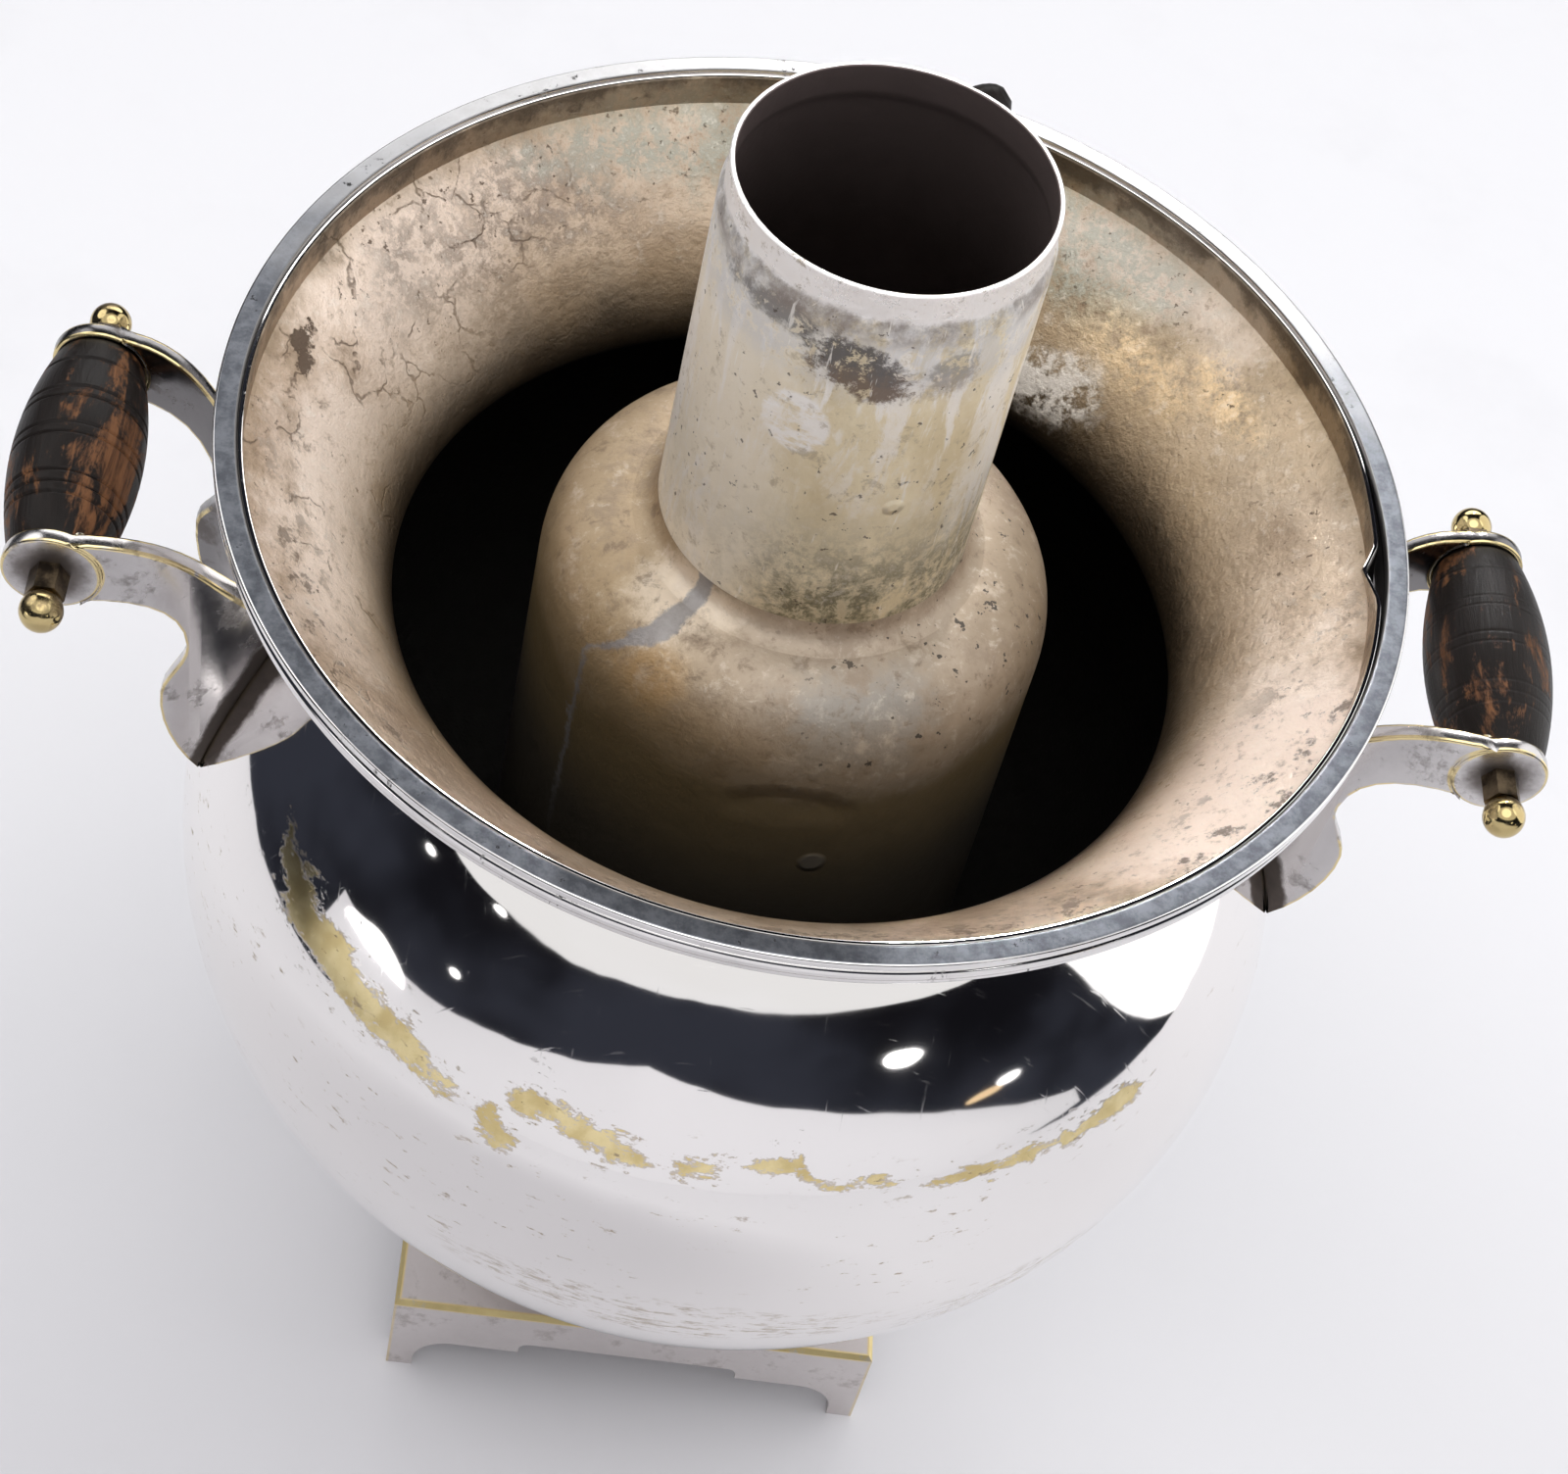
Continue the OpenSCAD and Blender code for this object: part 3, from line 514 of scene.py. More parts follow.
def rim_plate(name, inner_r, groove_z, top_z):
    mat, where, xyz = finish_tree(name)
    out = distance(xyz[0], xyz[1])
    tone = clouds(where, 60.0, 5.0, 0.6)
    fine = clouds(where, 240.0, 6.0, 0.72)
    silver = tint(tone, (0.70, 0.68, 0.67), (0.90, 0.88, 0.87))
    # Painted reflection: the dull blue-grey of the flat stands partly for the dark room mirrored in it, laid
    # on fully at the near side and at under half at the far side
    dull = tint(ease(fine, 0.35, 0.65), (0.115, 0.122, 0.14), (0.215, 0.225, 0.25))
    flat = ease(xyz[2], top_z - 0.00012, top_z - 0.00002)
    base = tint(times(flat, ease(shaken(xyz[1], tone, 0.08), -0.10, -0.02, 0.45, 1.0)), silver, dull)
    nicks = times(ease(clouds(stretched(where, (1, 1, 0.3)), 300.0, 5.0, 0.75), 0.60, 0.66),
                  ease(clouds(where, 34.0, 3.0), 0.47, 0.60))
    seam = times(ease(calc("ABSOLUTE", calc("SUBTRACT", out, inner_r)), 0.0007, 0.0003),
                 ease(xyz[1], -0.10, 0.02, 0.25, 0.9))
    groove = ease(calc("ABSOLUTE", calc("SUBTRACT", xyz[2], groove_z)), 0.0008, 0.0004)
    dirt = most(times(nicks, 0.85), seam, groove)
    base = tint(dirt, base, (0.030, 0.028, 0.027))
    rough = raised(raised(raised(0.06, tone, 0.10), flat, 0.30), dirt, 0.35)
    return finished(mat, base, rough, dents(nicks, 0.2, -0.0002, dents(fine, 0.02, 0.0003)), 1.0)


ring_w, ring_h, ring_above, ring_gap = 5.5, 9.6, 0.8, 0.02
ring_r, ring_in = collar_r + ring_w, collar_r + ring_gap
ring_top = rim_z + ring_above
ring_low = ring_top - ring_h
groove_z = ring_top - 2.6
bead_r, bead_inset, bead_half_turn, bead_steps = 1.9, 0.3, 80, 12
bead_mid, bead_z = ring_r - bead_inset - bead_r, ring_top - 5.1
bead = []
for i in range(bead_steps + 1):
    t = math.radians(bead_half_turn * (2 * i / bead_steps - 1))
    bead.append((bead_mid + bead_r * math.cos(t), bead_z + bead_r * math.sin(t)))
foot = [(ring_in, ring_low), (ring_r - 2.8, ring_low), (ring_r - 1.3, ring_low + 1.2),
        (ring_r - 1, ring_low + 1.8), (ring_r - 1.1, ring_low + 2.5)]
groove = [(ring_r - 2.4, ring_top - 2.9), (ring_r - 2.3, ring_top - 2.3)]
lip = [(ring_r - 0.4, ring_top - 2.2), (ring_r - 0.05, ring_top - 1.9), (ring_r, ring_top - 1.4),
       (ring_r, ring_top - 0.6), (ring_r - 0.15, ring_top - 0.25), (ring_r - 0.5, ring_top - 0.05),
       (ring_r - 0.8, ring_top), (ring_r - 1, ring_top)]
seam = [(ring_in + 0.9, ring_top), (ring_in + 0.7, ring_top), (ring_in + 0.3, ring_top - 0.12),
        (ring_in + 0.1, ring_top - 0.5), (ring_in, ring_top - 1.4)]
rim_finish = rim_plate("rim_plate", ring_in / 1000, groove_z / 1000, ring_top / 1000)
rim_ring = turned("rim_moulding", foot + bead + groove + lip + seam, 384, rim_finish, crisp=40)
hold(rim_ring, "vessel", "silver_plate", "rim_ring")


# Fire tube: the wide inner tube that holds the charcoal, with a domed shoulder and a sleeve for the pipe.
# Tinned brass, beige and speckled on the shoulder, golden brown below it, dark where the water stood, with
# painted shade down the slope and deep in the mouth.
# A lead-grey run of solder comes down from the foot of the pipe.

def tarnished_tube(name, edge_z):
    mat, where, xyz = finish_tree(name)
    broad = clouds(where, 18.0, 5.0, 0.6, 0.2)
    blotch = clouds(where, 58.0, 10.0, 0.74, 0.1)
    fine = clouds(where, 210.0, 8.0, 0.74, 0.3)
    ragged = shaken(swing(broad, 1.5), blotch, 2.2)
    base = tint(ease(broad, 0.35, 0.65), (0.34, 0.265, 0.187), (0.475, 0.39, 0.305))
    base = coat(base, ease(xyz[0], 0.005, 0.045), 0.6, (0.45, 0.325, 0.18))
    cool = patch(where, ragged, (-14, 52, 304), (20, 16, 11), 0.9)
    base = coat(base, cool, 0.7, (0.285, 0.277, 0.26))
    rust = patch(where, ragged, (33, 46, 303), (9, 9, 6), 1.0)
    base = coat(base, rust, 0.6, (0.50, 0.31, 0.13))
    bloom = patch(where, ragged, (27, 32, 313), (13, 11, 6), 1.0)
    base = coat(base, bloom, 0.7, (0.86, 0.74, 0.60))
    base = coat(base, ease(blotch, 0.50, 0.64), 0.55, (0.28, 0.215, 0.16))
    base = coat(base, ease(blotch, 0.45, 0.34), 0.5, (0.66, 0.56, 0.46))
    base = coat(base, ease(fine, 0.54, 0.70), 0.45, (0.78, 0.69, 0.59))
    base = coat(base, ease(fine, 0.47, 0.33), 0.65, (0.20, 0.145, 0.10))

    # Painted shade browning down the slope, then darker below the shoulder and darkest where the water stood,
    # these two both stain and painted shade
    level = shaken(xyz[2], broad, 0.02)
    painted_slope_shade = ease(level, edge_z + 0.024, edge_z + 0.006)
    base = tint(times(painted_slope_shade, ease(xyz[0], -0.03, 0.03, 0.25, 0.7)), base, (0.24, 0.17, 0.085))
    lower_stain_and_painted_shade = ease(level, edge_z + 0.003, edge_z - 0.008)
    base = coat(base, lower_stain_and_painted_shade, 0.88, (0.185, 0.135, 0.066))
    water_mark_and_painted_shade = ease(level, edge_z - 0.006, edge_z - 0.050)
    base = coat(base, water_mark_and_painted_shade, 0.97, (0.066, 0.054, 0.041))
    specks = times(ease(clouds(where, 300.0, 3.0, 0.6), 0.645, 0.68), ease(xyz[2], edge_z, edge_z + 0.005),
                   ease(xyz[0], 0.02, -0.02))
    base = coat(base, specks, 0.9, (0.045, 0.038, 0.032))

    # The run of solder, a dimple below the shoulder and a stud in the wall
    turn = calc("ADD", bearing(xyz), shaken(swing(blotch, 9.0), fine, 6.0))
    half = ease(xyz[2], edge_z + 0.012, edge_z + 0.024, 0.6, 3.6)
    path = ease(xyz[2], edge_z + 0.008, edge_z + 0.024, 53.0, 40.0)
    run = times(ease(calc("SUBTRACT", calc("ABSOLUTE", calc("ADD", turn, path)), half), 0.8, -0.8),
                ease(xyz[2], edge_z - 0.070, edge_z - 0.020))
    lead = tint(fine, (0.11, 0.105, 0.11), (0.42, 0.41, 0.42))
    base = coat(base, run, 0.85, lead)
    dimple = times(patch(where, 0.0, (-3, 62, 276), (15, 15, 11), 0.5),
                   ease(xyz[2], edge_z - 0.016, edge_z - 0.004))
    stud = patch(where, 0.0, (-12, 61, 259.7), (3.2, 3.2, 3.2), 0.5)
    base = coat(base, stud, 0.5, (0.22, 0.20, 0.18))

    uneven = dents(clouds(where, 42.0, 5.0, 0.62), 0.55, 0.0015)
    grain = dents(calc("ADD", fine, blotch), 0.35, 0.0009, uneven)
    pressed = dents(dimple, 0.45, -0.003, grain)
    normal = dents(most(stud, times(specks, -0.4)), 0.6, 0.0012, pressed)
    return finished(mat, base, raised(0.36, blotch, 0.3), normal, raised(0.55, water_mark_and_painted_shade, -0.3))


def soot_and_painted_light(name):
    mat, where, xyz = finish_tree(name)
    # Soot, black low down and greyer towards the top of the pipe, the greying being painted light from the
    # open top
    black_below, grey_above = 0.37, 0.43
    flakes = clouds(where, 150.0, 8.0, 0.70)
    burnt = tint(flakes, (0.030, 0.021, 0.019), (0.062, 0.045, 0.041))
    base = tint(ease(xyz[2], black_below, grey_above), burnt, (0.20, 0.155, 0.148))
    return finished(mat, base, raised(0.32, flakes, 0.3), dents(flakes, 0.4, 0.0008), 0.5)


soot_and_painted_light_finish = soot_and_painted_light("chimney_soot_and_painted_light")
tube_r, tube_foot_r, tube_wall = 62.0, bottom_r - 1, 1.2
taper_h, straight_h, dome_drop = 84.0, 30.0, 44.4
dome_in_r, dome_h, sleeve_h, fullness, dome_steps = 38.0, 24.5, 11.0, 0.86, 20
tube_low = belly_line[0][1] + wall
dome_z = ring_top - dome_drop
dome_line = []
for i in range(dome_steps + 1):
    t = math.radians(90 * i / dome_steps)
    dome_line.append((dome_in_r + (tube_r - dome_in_r) * math.cos(t) ** fullness,
                      dome_z + dome_h * math.sin(t) ** fullness))
pipe_r = 37.0
pipe_in = pipe_r - tube_wall
pipe_low = dome_z + dome_h
tube_line = ([(tube_foot_r, tube_low), (tube_r, tube_low + taper_h), (tube_r, dome_z - straight_h)]
             + dome_line + [(pipe_in, pipe_low), (pipe_in, pipe_low + sleeve_h)])
tube_finish = tarnished_tube("tarnished_tube", dome_z / 1000)
fire_tube = turned("fire_tube_wall", walled(tube_line, tube_wall), 256, tube_finish, soot_and_painted_light_finish,
                   len(tube_line), crisp=50)
hold(fire_tube, "vessel", "tarnished_plate", "fire_tube")

# Solder run into the corner between the shoulder and the pipe
solder_r, solder_h, pipe_gap = 44.0, 6.0, 0.04
solder_line = [(pipe_r + pipe_gap, pipe_low - 1), (solder_r, pipe_low - 1)]
solder_line += bowed((solder_r, pipe_low - 0.6), (pipe_r + 2.6, pipe_low + 0.2),
                     (pipe_r + 0.6, pipe_low + 1.6), (pipe_r + pipe_gap, pipe_low + solder_h), 10)
solder = turned("pipe_solder", solder_line, 160, tube_finish, crisp=60)
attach(solder, "vessel")


# Chimney: a straight soldered pipe on the sleeve of the fire tube, with a swaged lip for the extension.
# Khaki tarnish over silver, wiped pale in streaks, with painted sheen down both sides and painted light on
# the +X side, dark stains and a band of painted shade under a bright rubbed lip, soot inside, paler towards
# the top with painted light.

def khaki_pipe(name, foot_z, lip_z):
    mat, where, xyz = finish_tree(name)
    broad = clouds(stretched(where, (1, 1, 0.7)), 24.0, 6.0, 0.62, 0.2)
    blotch = clouds(where, 70.0, 10.0, 0.74, 0.15)
    fine = clouds(where, 230.0, 8.0, 0.74, 0.3)
    ragged = shaken(swing(fine, 2.5), blotch, 3.6)
    zone = partial(patch, where, ragged)
    base = tint(ease(broad, 0.36, 0.64), (0.74, 0.625, 0.41), (0.97, 0.87, 0.655))
    wiped = clouds(stretched(where, (110, 110, 22), (0.25, 0.1, 0)), 1.0, 8.0, 0.72, 0.5)
    # Wipe streaks on the upper pipe and, down both sides, painted sheen
    wipes_and_painted_sheen = times(ease(wiped, 0.50, 0.58), ease(shaken(xyz[2], blotch, 0.09), 0.345, 0.392))
    wipes_and_painted_sheen = most(wipes_and_painted_sheen, times(ease(wiped, 0.47, 0.56),
                            ease(shaken(calc("ABSOLUTE", xyz[0]), blotch, 0.02), 0.020, 0.031)))
    # Painted light: the +X side of the pipe is made paler
    base = tint(ease(shaken(xyz[0], broad, 0.02), 0.004, 0.024, 0.0, 0.7), base, (1.0, 0.94, 0.84))
    base = coat(base, wipes_and_painted_sheen, 0.85, (0.98, 0.94, 0.89))

    # Olive round the foot, a rubbed disc, a grey cuff, dark stains and a band of painted shade below the lip
    olive = times(ease(shaken(xyz[2], blotch, 0.05), foot_z + 0.050, foot_z + 0.014),
                  ease(blotch, 0.38, 0.56), ease(fine, 0.34, 0.56), ease(xyz[0], 0.026, 0.004, 0.2, 1.0))
    base = coat(base, olive, 0.95, (0.15, 0.135, 0.075))
    disc = patch(where, swing(fine, 0.35), (13.8, 34.4, 379.6), (8, 8, 8.5), 0.18)
    rub = times(disc, ease(clouds(stretched(where, (70, 70, 190), (0, 0.5, 0)), 1.0, 6.0, 0.7), 0.40, 0.52))
    base = coat(base, rub, 0.95, (1.0, 0.97, 0.94))
    base = coat(base, ease(fine, 0.54, 0.68), 0.45, (0.93, 0.87, 0.79))
    base = coat(base, ease(fine, 0.46, 0.34), 0.5, (0.36, 0.29, 0.19))
    cuff = times(ease(shaken(xyz[2], blotch, 0.012), lip_z - 0.028, lip_z - 0.016), ease(fine, 0.40, 0.52))
    base = coat(base, cuff, 0.6, (0.66, 0.655, 0.67))
    stains = most(zone((7, 36.5, 401), (8, 8, 7), 0.5),
                  zone((-1, 37, 396), (6, 6, 5), 0.5),
                  times(zone((-17, 33, 401), (6, 6, 6), 0.7), 0.6),
                  times(zone((24, 28, 407), (12, 14, 4), 0.8), 0.8))
    stains = times(stains, ease(fine, 0.38, 0.46))
    rusty = ease(shaken(xyz[2], fine, 0.02), 0.402, 0.396)
    base = coat(base, stains, 0.9, tint(rusty, (0.070, 0.062, 0.062), (0.14, 0.09, 0.06)))
    # Painted shade: a darker band just under the lip
    shade = times(ease(shaken(xyz[2], blotch, 0.010), lip_z - 0.0095, lip_z - 0.004),
                  ease(blotch, 0.66, 0.40), 0.85)
    base = tint(shade, base, (0.235, 0.19, 0.165))
    dust = ease(clouds(where, 420.0, 3.0), 0.67, 0.71)
    base = coat(base, dust, 0.8, (0.08, 0.06, 0.045))
    bright = ease(shaken(xyz[2], blotch, 0.006), lip_z - 0.0018, lip_z + 0.0004)
    base = tint(times(bright, ease(fine, 0.34, 0.44)), base, (0.99, 0.965, 0.95))
    lines = scratched(where)
    base = coat(base, lines, 0.6, (1.0, 0.96, 0.90))

    rough = raised(raised(0.28, blotch, 0.25), bright, -0.12)
    uneven = dents(clouds(where, 48.0, 6.0, 0.66), 0.45, 0.0013)
    grain = dents(calc("ADD", fine, wiped), 0.30, 0.0008, uneven)
    drop = patch(where, 0.0, (-12.1, 35, 358.1), (2, 2, 1.8), 1.0)
    return finished(mat, base, rough, dents(drop, 0.8, 0.001, grain), raised(0.28, bright, 0.15))


pipe_above = 89.6
pipe_top = ring_top + pipe_above
lip_r, lip_h, lip_round = pipe_r - 1, 8.0, 0.25
lip_low = pipe_top - lip_h


# One side of the pipe from its foot up, for the outer or the inner wall
def pipe_side(pipe, lip, inset):
    return [(pipe, pipe_low), (pipe, lip_low - 3), (pipe - 0.4, lip_low - 1.4),
            (lip + 0.08, lip_low), (lip, lip_low + 1), (lip, pipe_top - lip_round), (lip - inset, pipe_top)]


outer_side = pipe_side(pipe_r, lip_r, lip_round)
outer_side.insert(1, (pipe_r, pipe_low + 40))
inner_side = pipe_side(pipe_in, lip_r - tube_wall, -lip_round)
pipe_finish = khaki_pipe("khaki_pipe", pipe_low / 1000, (lip_low + 1) / 1000)
chimney = turned("chimney_pipe", outer_side + inner_side[::-1], 192, pipe_finish, soot_and_painted_light_finish,
                 len(outer_side))
hold(chimney, "vessel", "tarnished_plate", "chimney")


# Grate: a slotted cast disc that lies on the pedestal under the charcoal.
# Grey iron, burnt and sooty.

def dressed(node, finish):
    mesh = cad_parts[node].data
    mesh.materials.clear()
    mesh.materials.append(finish)


dressed("grate", soot_and_painted_light_finish)


# Pedestal and base: a waisted foot with draught holes, riveted to a hollow square base on bracket feet.
# Plated brass sheet, greyer than the belly, rubbed to brass along the upper edges of the square.

def foot_plate(name, edges):
    mat, where, xyz = finish_tree(name)
    tone = clouds(where, 38.0, 7.0, 0.66)
    base = tint(tone, (0.54, 0.495, 0.485), (0.80, 0.765, 0.755))
    brass = tint(clouds(where, 140.0, 4.0), (0.66, 0.51, 0.22), (0.92, 0.77, 0.40))
    grime = ease(clouds(where, 75.0, 8.0, 0.70), 0.52, 0.66)
    base = coat(base, grime, 0.45, (0.27, 0.225, 0.20))
    base = tint(edges(where, xyz), base, brass)
    rough = raised(raised(0.24, tone, 0.16), grime, 0.15)
    return finished(mat, base, rough, dents(clouds(where, 60.0, 5.0), 0.15, 0.0008), 0.85)


def square_edges(where, xyz):
    half, top_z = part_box("base")[1][0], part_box("base")[1][2]
    side_x, side_y = calc("ABSOLUTE", xyz[0]), calc("ABSOLUTE", xyz[1])
    top = ease(calc("ADD", most(side_x, side_y), xyz[2]), half + top_z - 0.0020, half + top_z - 0.0014)
    corner = ease(calc("ADD", side_x, side_y), 2 * half - 0.0010, 2 * half - 0.0004)
    ragged = ease(clouds(where, 60.0, 6.0, 0.65), 0.33, 0.43)
    return times(most(top, times(corner, 0.5)), ragged)


def rubbed_spots(where, _):
    return ease(clouds(where, 34.0, 6.0, 0.65), 0.62, 0.66)


dressed("base", foot_plate("square_base_plate", square_edges))
dressed("pedestal", foot_plate("pedestal_plate", rubbed_spots))


# Rivets: four brass rivets on a circle through the pedestal flange and the base, with domed heads.
# One turned rivet is set out round the axis by the node tree.

def bright_brass(name, dark_share, depth=1.0):
    mat, where, _ = finish_tree(name)
    tone = clouds(where, 150.0, 5.0, 0.6)
    dull = ease(clouds(where, 90.0, 6.0, 0.65), 0.66 - dark_share, 0.78 - dark_share)
    darker, paler = (tuple(depth * c for c in shade) for shade in ((0.62, 0.46, 0.20), (0.84, 0.69, 0.36)))
    base = tint(tone, darker, paler)
    base = coat(base, dull, 0.8, (0.20, 0.145, 0.085))
    return finished(mat, base, raised(0.12, dull, 0.22), dents(clouds(where, 400.0, 3.0), 0.10, 0.0002), 1.0)


brass_finish = bright_brass("rubbed_brass", 0.12)
riveting, part, given = shape_tree("rivet_circle", "Rivets", Geometry=("Outline",),
                                   Int=("Points", "Around", "Count"),
                                   Float=("Circle radius", "First angle"), Material=("Finish",))
one_rivet = part("GeometryNodeGroup", node_tree=turning)
for label, source in (("Outline", "Outline"), ("Points", "Points"), ("Around", "Around"),
                      ("Outer finish", "Finish"), ("Inner finish", "Finish")):
    feed(one_rivet, label, given[source])
feed(one_rivet, "Inner row", past_end)
rivet_ring = part("GeometryNodeMeshCircle", {"Vertices": given["Count"], "Radius": given["Circle radius"]})
ring_turn = part("ShaderNodeCombineXYZ", {2: given["First angle"]})
rivet_spots = part("GeometryNodeTransform", {"Geometry": rivet_ring, "Rotation": ring_turn})
rivet_set = part("GeometryNodeInstanceOnPoints", {"Points": rivet_spots, "Instance": one_rivet})
rivets_real = part("GeometryNodeRealizeInstances", {0: rivet_set})
rivets_done = part("GeometryNodeSetMaterial", {"Geometry": rivets_real, "Material": given["Finish"]})
finish_group(riveting, rivets_done)

base_h, base_wall, flange_t = 36.0, 3.2, 3.0
head_r, head_h, shank_r, rivet_circle_r = 3.8, 2.0, 2.2, 56.0
head_seat, under_seat = base_h + flange_t, base_h - base_wall
dome = []
for degrees in range(0, 91, 15):
    t = math.radians(degrees)
    dome.append((head_r * math.cos(t), head_h * math.sin(t)))
rivet_line = ([(r, under_seat - h) for r, h in dome[::-1]] + [(shank_r, under_seat), (shank_r, head_seat)]
              + [(r, head_seat + h) for r, h in dome])
rivet_dots = dotted("rivet_outline", [(r, 0, z) for r, z in rivet_line])
rivets = made_plain("flange_rivets", rivet_dots, riveting, {
    "Points": len(rivet_line), "Around": 32, "Count": 4, "Circle radius": rivet_circle_r / 1000,
    "First angle": math.radians(45), "Finish": brass_finish}, 40)
hold(rivets, "vessel", "brass", "pedestal_rivets")


# Handle brackets: four flat castings, each with a round eye, a bent arm and a leaf soldered to the belly.
# Silver plated, black in the solder seam and under the eye, rubbed to brass along the edges, the eye end
# darkened as a painted dark reflection, far more on the front pair.

rod_x, rod_z = 172.0, 295.0


def bracket_plate(name, painted_dark_share):
    mat, where, xyz = finish_tree(name)
    tone = clouds(where, 45.0, 7.0, 0.66)
    fine = clouds(where, 170.0, 8.0, 0.72)
    base = tint(tone, (0.50, 0.47, 0.465), (0.88, 0.855, 0.85))
    reach = calc("SUBTRACT", calc("ABSOLUTE", xyz[0]), rod_x / 1000)
    # Painted reflection: the eye end of the plate is darkened, as much as the share asks
    painted_dark_eye_end = times(ease(shaken(reach, tone, 0.03), -0.050, -0.028), painted_dark_share)
    base = tint(painted_dark_eye_end, base, (0.075, 0.072, 0.075))
    edge = put(mat.node_tree, "ShaderNodeAttribute", attribute_name="edge").outputs["Fac"]
    ragged = ease(clouds(where, 90.0, 5.0), 0.36, 0.46)
    base = tint(times(edge, ragged, 0.9), base, (0.80, 0.65, 0.33))
    grime = ease(clouds(where, 70.0, 8.0, 0.72), 0.52, 0.66)
    ball = distance(calc("DIVIDE", distance(xyz[0], xyz[1]), belly_a / 1000),
                    calc("DIVIDE", calc("SUBTRACT", xyz[2], belly_z / 1000), belly_c / 1000))
    seam = ease(shaken(ball, tone, 0.06), 1.042, 1.028)
    off_rod = distance(reach, calc("SUBTRACT", xyz[2], rod_z / 1000))
    nut_seat = ease(shaken(off_rod, tone, 0.012), 0.012, 0.006)
    dirt = most(times(grime, 0.6), times(seam, 0.95), times(nut_seat, 0.85))
    base = tint(dirt, base, tint(fine, (0.030, 0.025, 0.022), (0.17, 0.135, 0.115)))
    rough = raised(raised(0.12, fine, 0.18), dirt, 0.4)
    uneven = dents(clouds(where, 50.0, 4.0), 0.16, 0.0010)
    return finished(mat, base, rough, dents(fine, 0.10, 0.0004, uneven), 1.0)


# A copy of a CAD node with its sharp edges worn round and marked
def softened(name, node, width, finish):
    weld, level, sharp_from, crisp = 0.00002, math.radians(2), math.radians(32), math.radians(40)
    work = bmesh.new()
    work.from_mesh(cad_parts[node].data)
    bmesh.ops.remove_doubles(work, verts=work.verts, dist=weld)
    bmesh.ops.dissolve_limit(work, angle_limit=level, verts=work.verts, edges=work.edges)
    mark = work.faces.layers.float.new("edge")
    sharp = [e for e in work.edges if len(e.link_faces) == 2 and e.calc_face_angle(0) > sharp_from]
    made = bmesh.ops.bevel(work, geom=sharp, offset=width, segments=2, profile=0.6, affect="EDGES",
                           clamp_overlap=False)
    for face in made["faces"]:
        face[mark] = 1.0
    mesh = bpy.data.meshes.new(name)
    work.to_mesh(mesh)
    work.free()
    mesh.shade_smooth()
    mesh.set_sharp_from_angle(angle=crisp)
    mesh.materials.append(finish)
    return added(name, mesh)


edge_wear = 0.0008
bracket_finish = bracket_plate("bracket_plate", 0.15)
# The front pair get the same plate with much more of the painted dark reflection
front_bracket_finish_painted_dark = bracket_plate("bracket_painted_dark_front", 0.8)
for side in ("right", "left"):
    for end, finish in (("front", front_bracket_finish_painted_dark), ("rear", bracket_finish)):
        node = "arm_%s_%s" % (side, end)
        bracket = softened("bracket_%s_%s" % (side, end), node, edge_wear, finish)
        hold(bracket, "vessel", "silver_plate", node)


# Grip rods and acorn nuts: plain rods through the eyes, closed by nuts with a six-sided collar and a ball.
# Brass, the collars nearly black with dirt and the balls bright from handling.

def dirty_brass(name):
    mat, where, _ = finish_tree(name)
    tone = clouds(where, 160.0, 6.0, 0.66)
    base = tint(ease(tone, 0.35, 0.68), (0.045, 0.035, 0.027), (0.25, 0.19, 0.12))
    return finished(mat, base, raised(0.28, tone, 0.2), dents(tone, 0.25, 0.0004), 1.0)


nutting, part, given = shape_tree("acorn_nut_set", "Nuts", Geometry=("Seats",),
                                  Float=("Collar radius", "Collar height", "Ball radius", "Ball distance"),
                                  Material=("Collar finish", "Ball finish"))
collar = part("GeometryNodeMeshCylinder",
              {"Vertices": 6, "Radius": given["Collar radius"], "Depth": given["Collar height"]})
collar_up = part("ShaderNodeCombineXYZ", {2: calc("DIVIDE", given["Collar height"], 2.0)})
collar_set = part("GeometryNodeTransform", {"Geometry": collar, "Translation": collar_up})
ball = part("GeometryNodeMeshUVSphere", {"Segments": 48, "Rings": 24, "Radius": given["Ball radius"]})
ball_up = part("ShaderNodeCombineXYZ", {2: given["Ball distance"]})
ball_set = part("GeometryNodeTransform", {"Geometry": ball, "Translation": ball_up})
ball_known = part("GeometryNodeStoreNamedAttribute",
                  {"Geometry": ball_set, "Name": "ball", "Value": True}, data_type="BOOLEAN", domain="FACE")
one_nut = part("GeometryNodeJoinGeometry")
feed(one_nut, 0, collar_set)
feed(one_nut, 0, ball_known)
way_out = part("GeometryNodeInputNamedAttribute", {"Name": "way"}, data_type="FLOAT_VECTOR")
turned_to = part("FunctionNodeAlignRotationToVector", {"Vector": way_out}, axis="Z")
nut_set = part("GeometryNodeInstanceOnPoints",
               {"Points": given["Seats"], "Instance": one_nut, "Rotation": turned_to})
nuts_real = part("GeometryNodeRealizeInstances", {0: nut_set})
dark_all = part("GeometryNodeSetMaterial", {"Geometry": nuts_real, "Material": given["Collar finish"]})
is_ball = part("GeometryNodeInputNamedAttribute", {"Name": "ball"}, data_type="BOOLEAN")
nuts_done = part("GeometryNodeSetMaterial",
                 {"Geometry": dark_all, "Selection": is_ball, "Material": given["Ball finish"]})
finish_group(nutting, nuts_done)

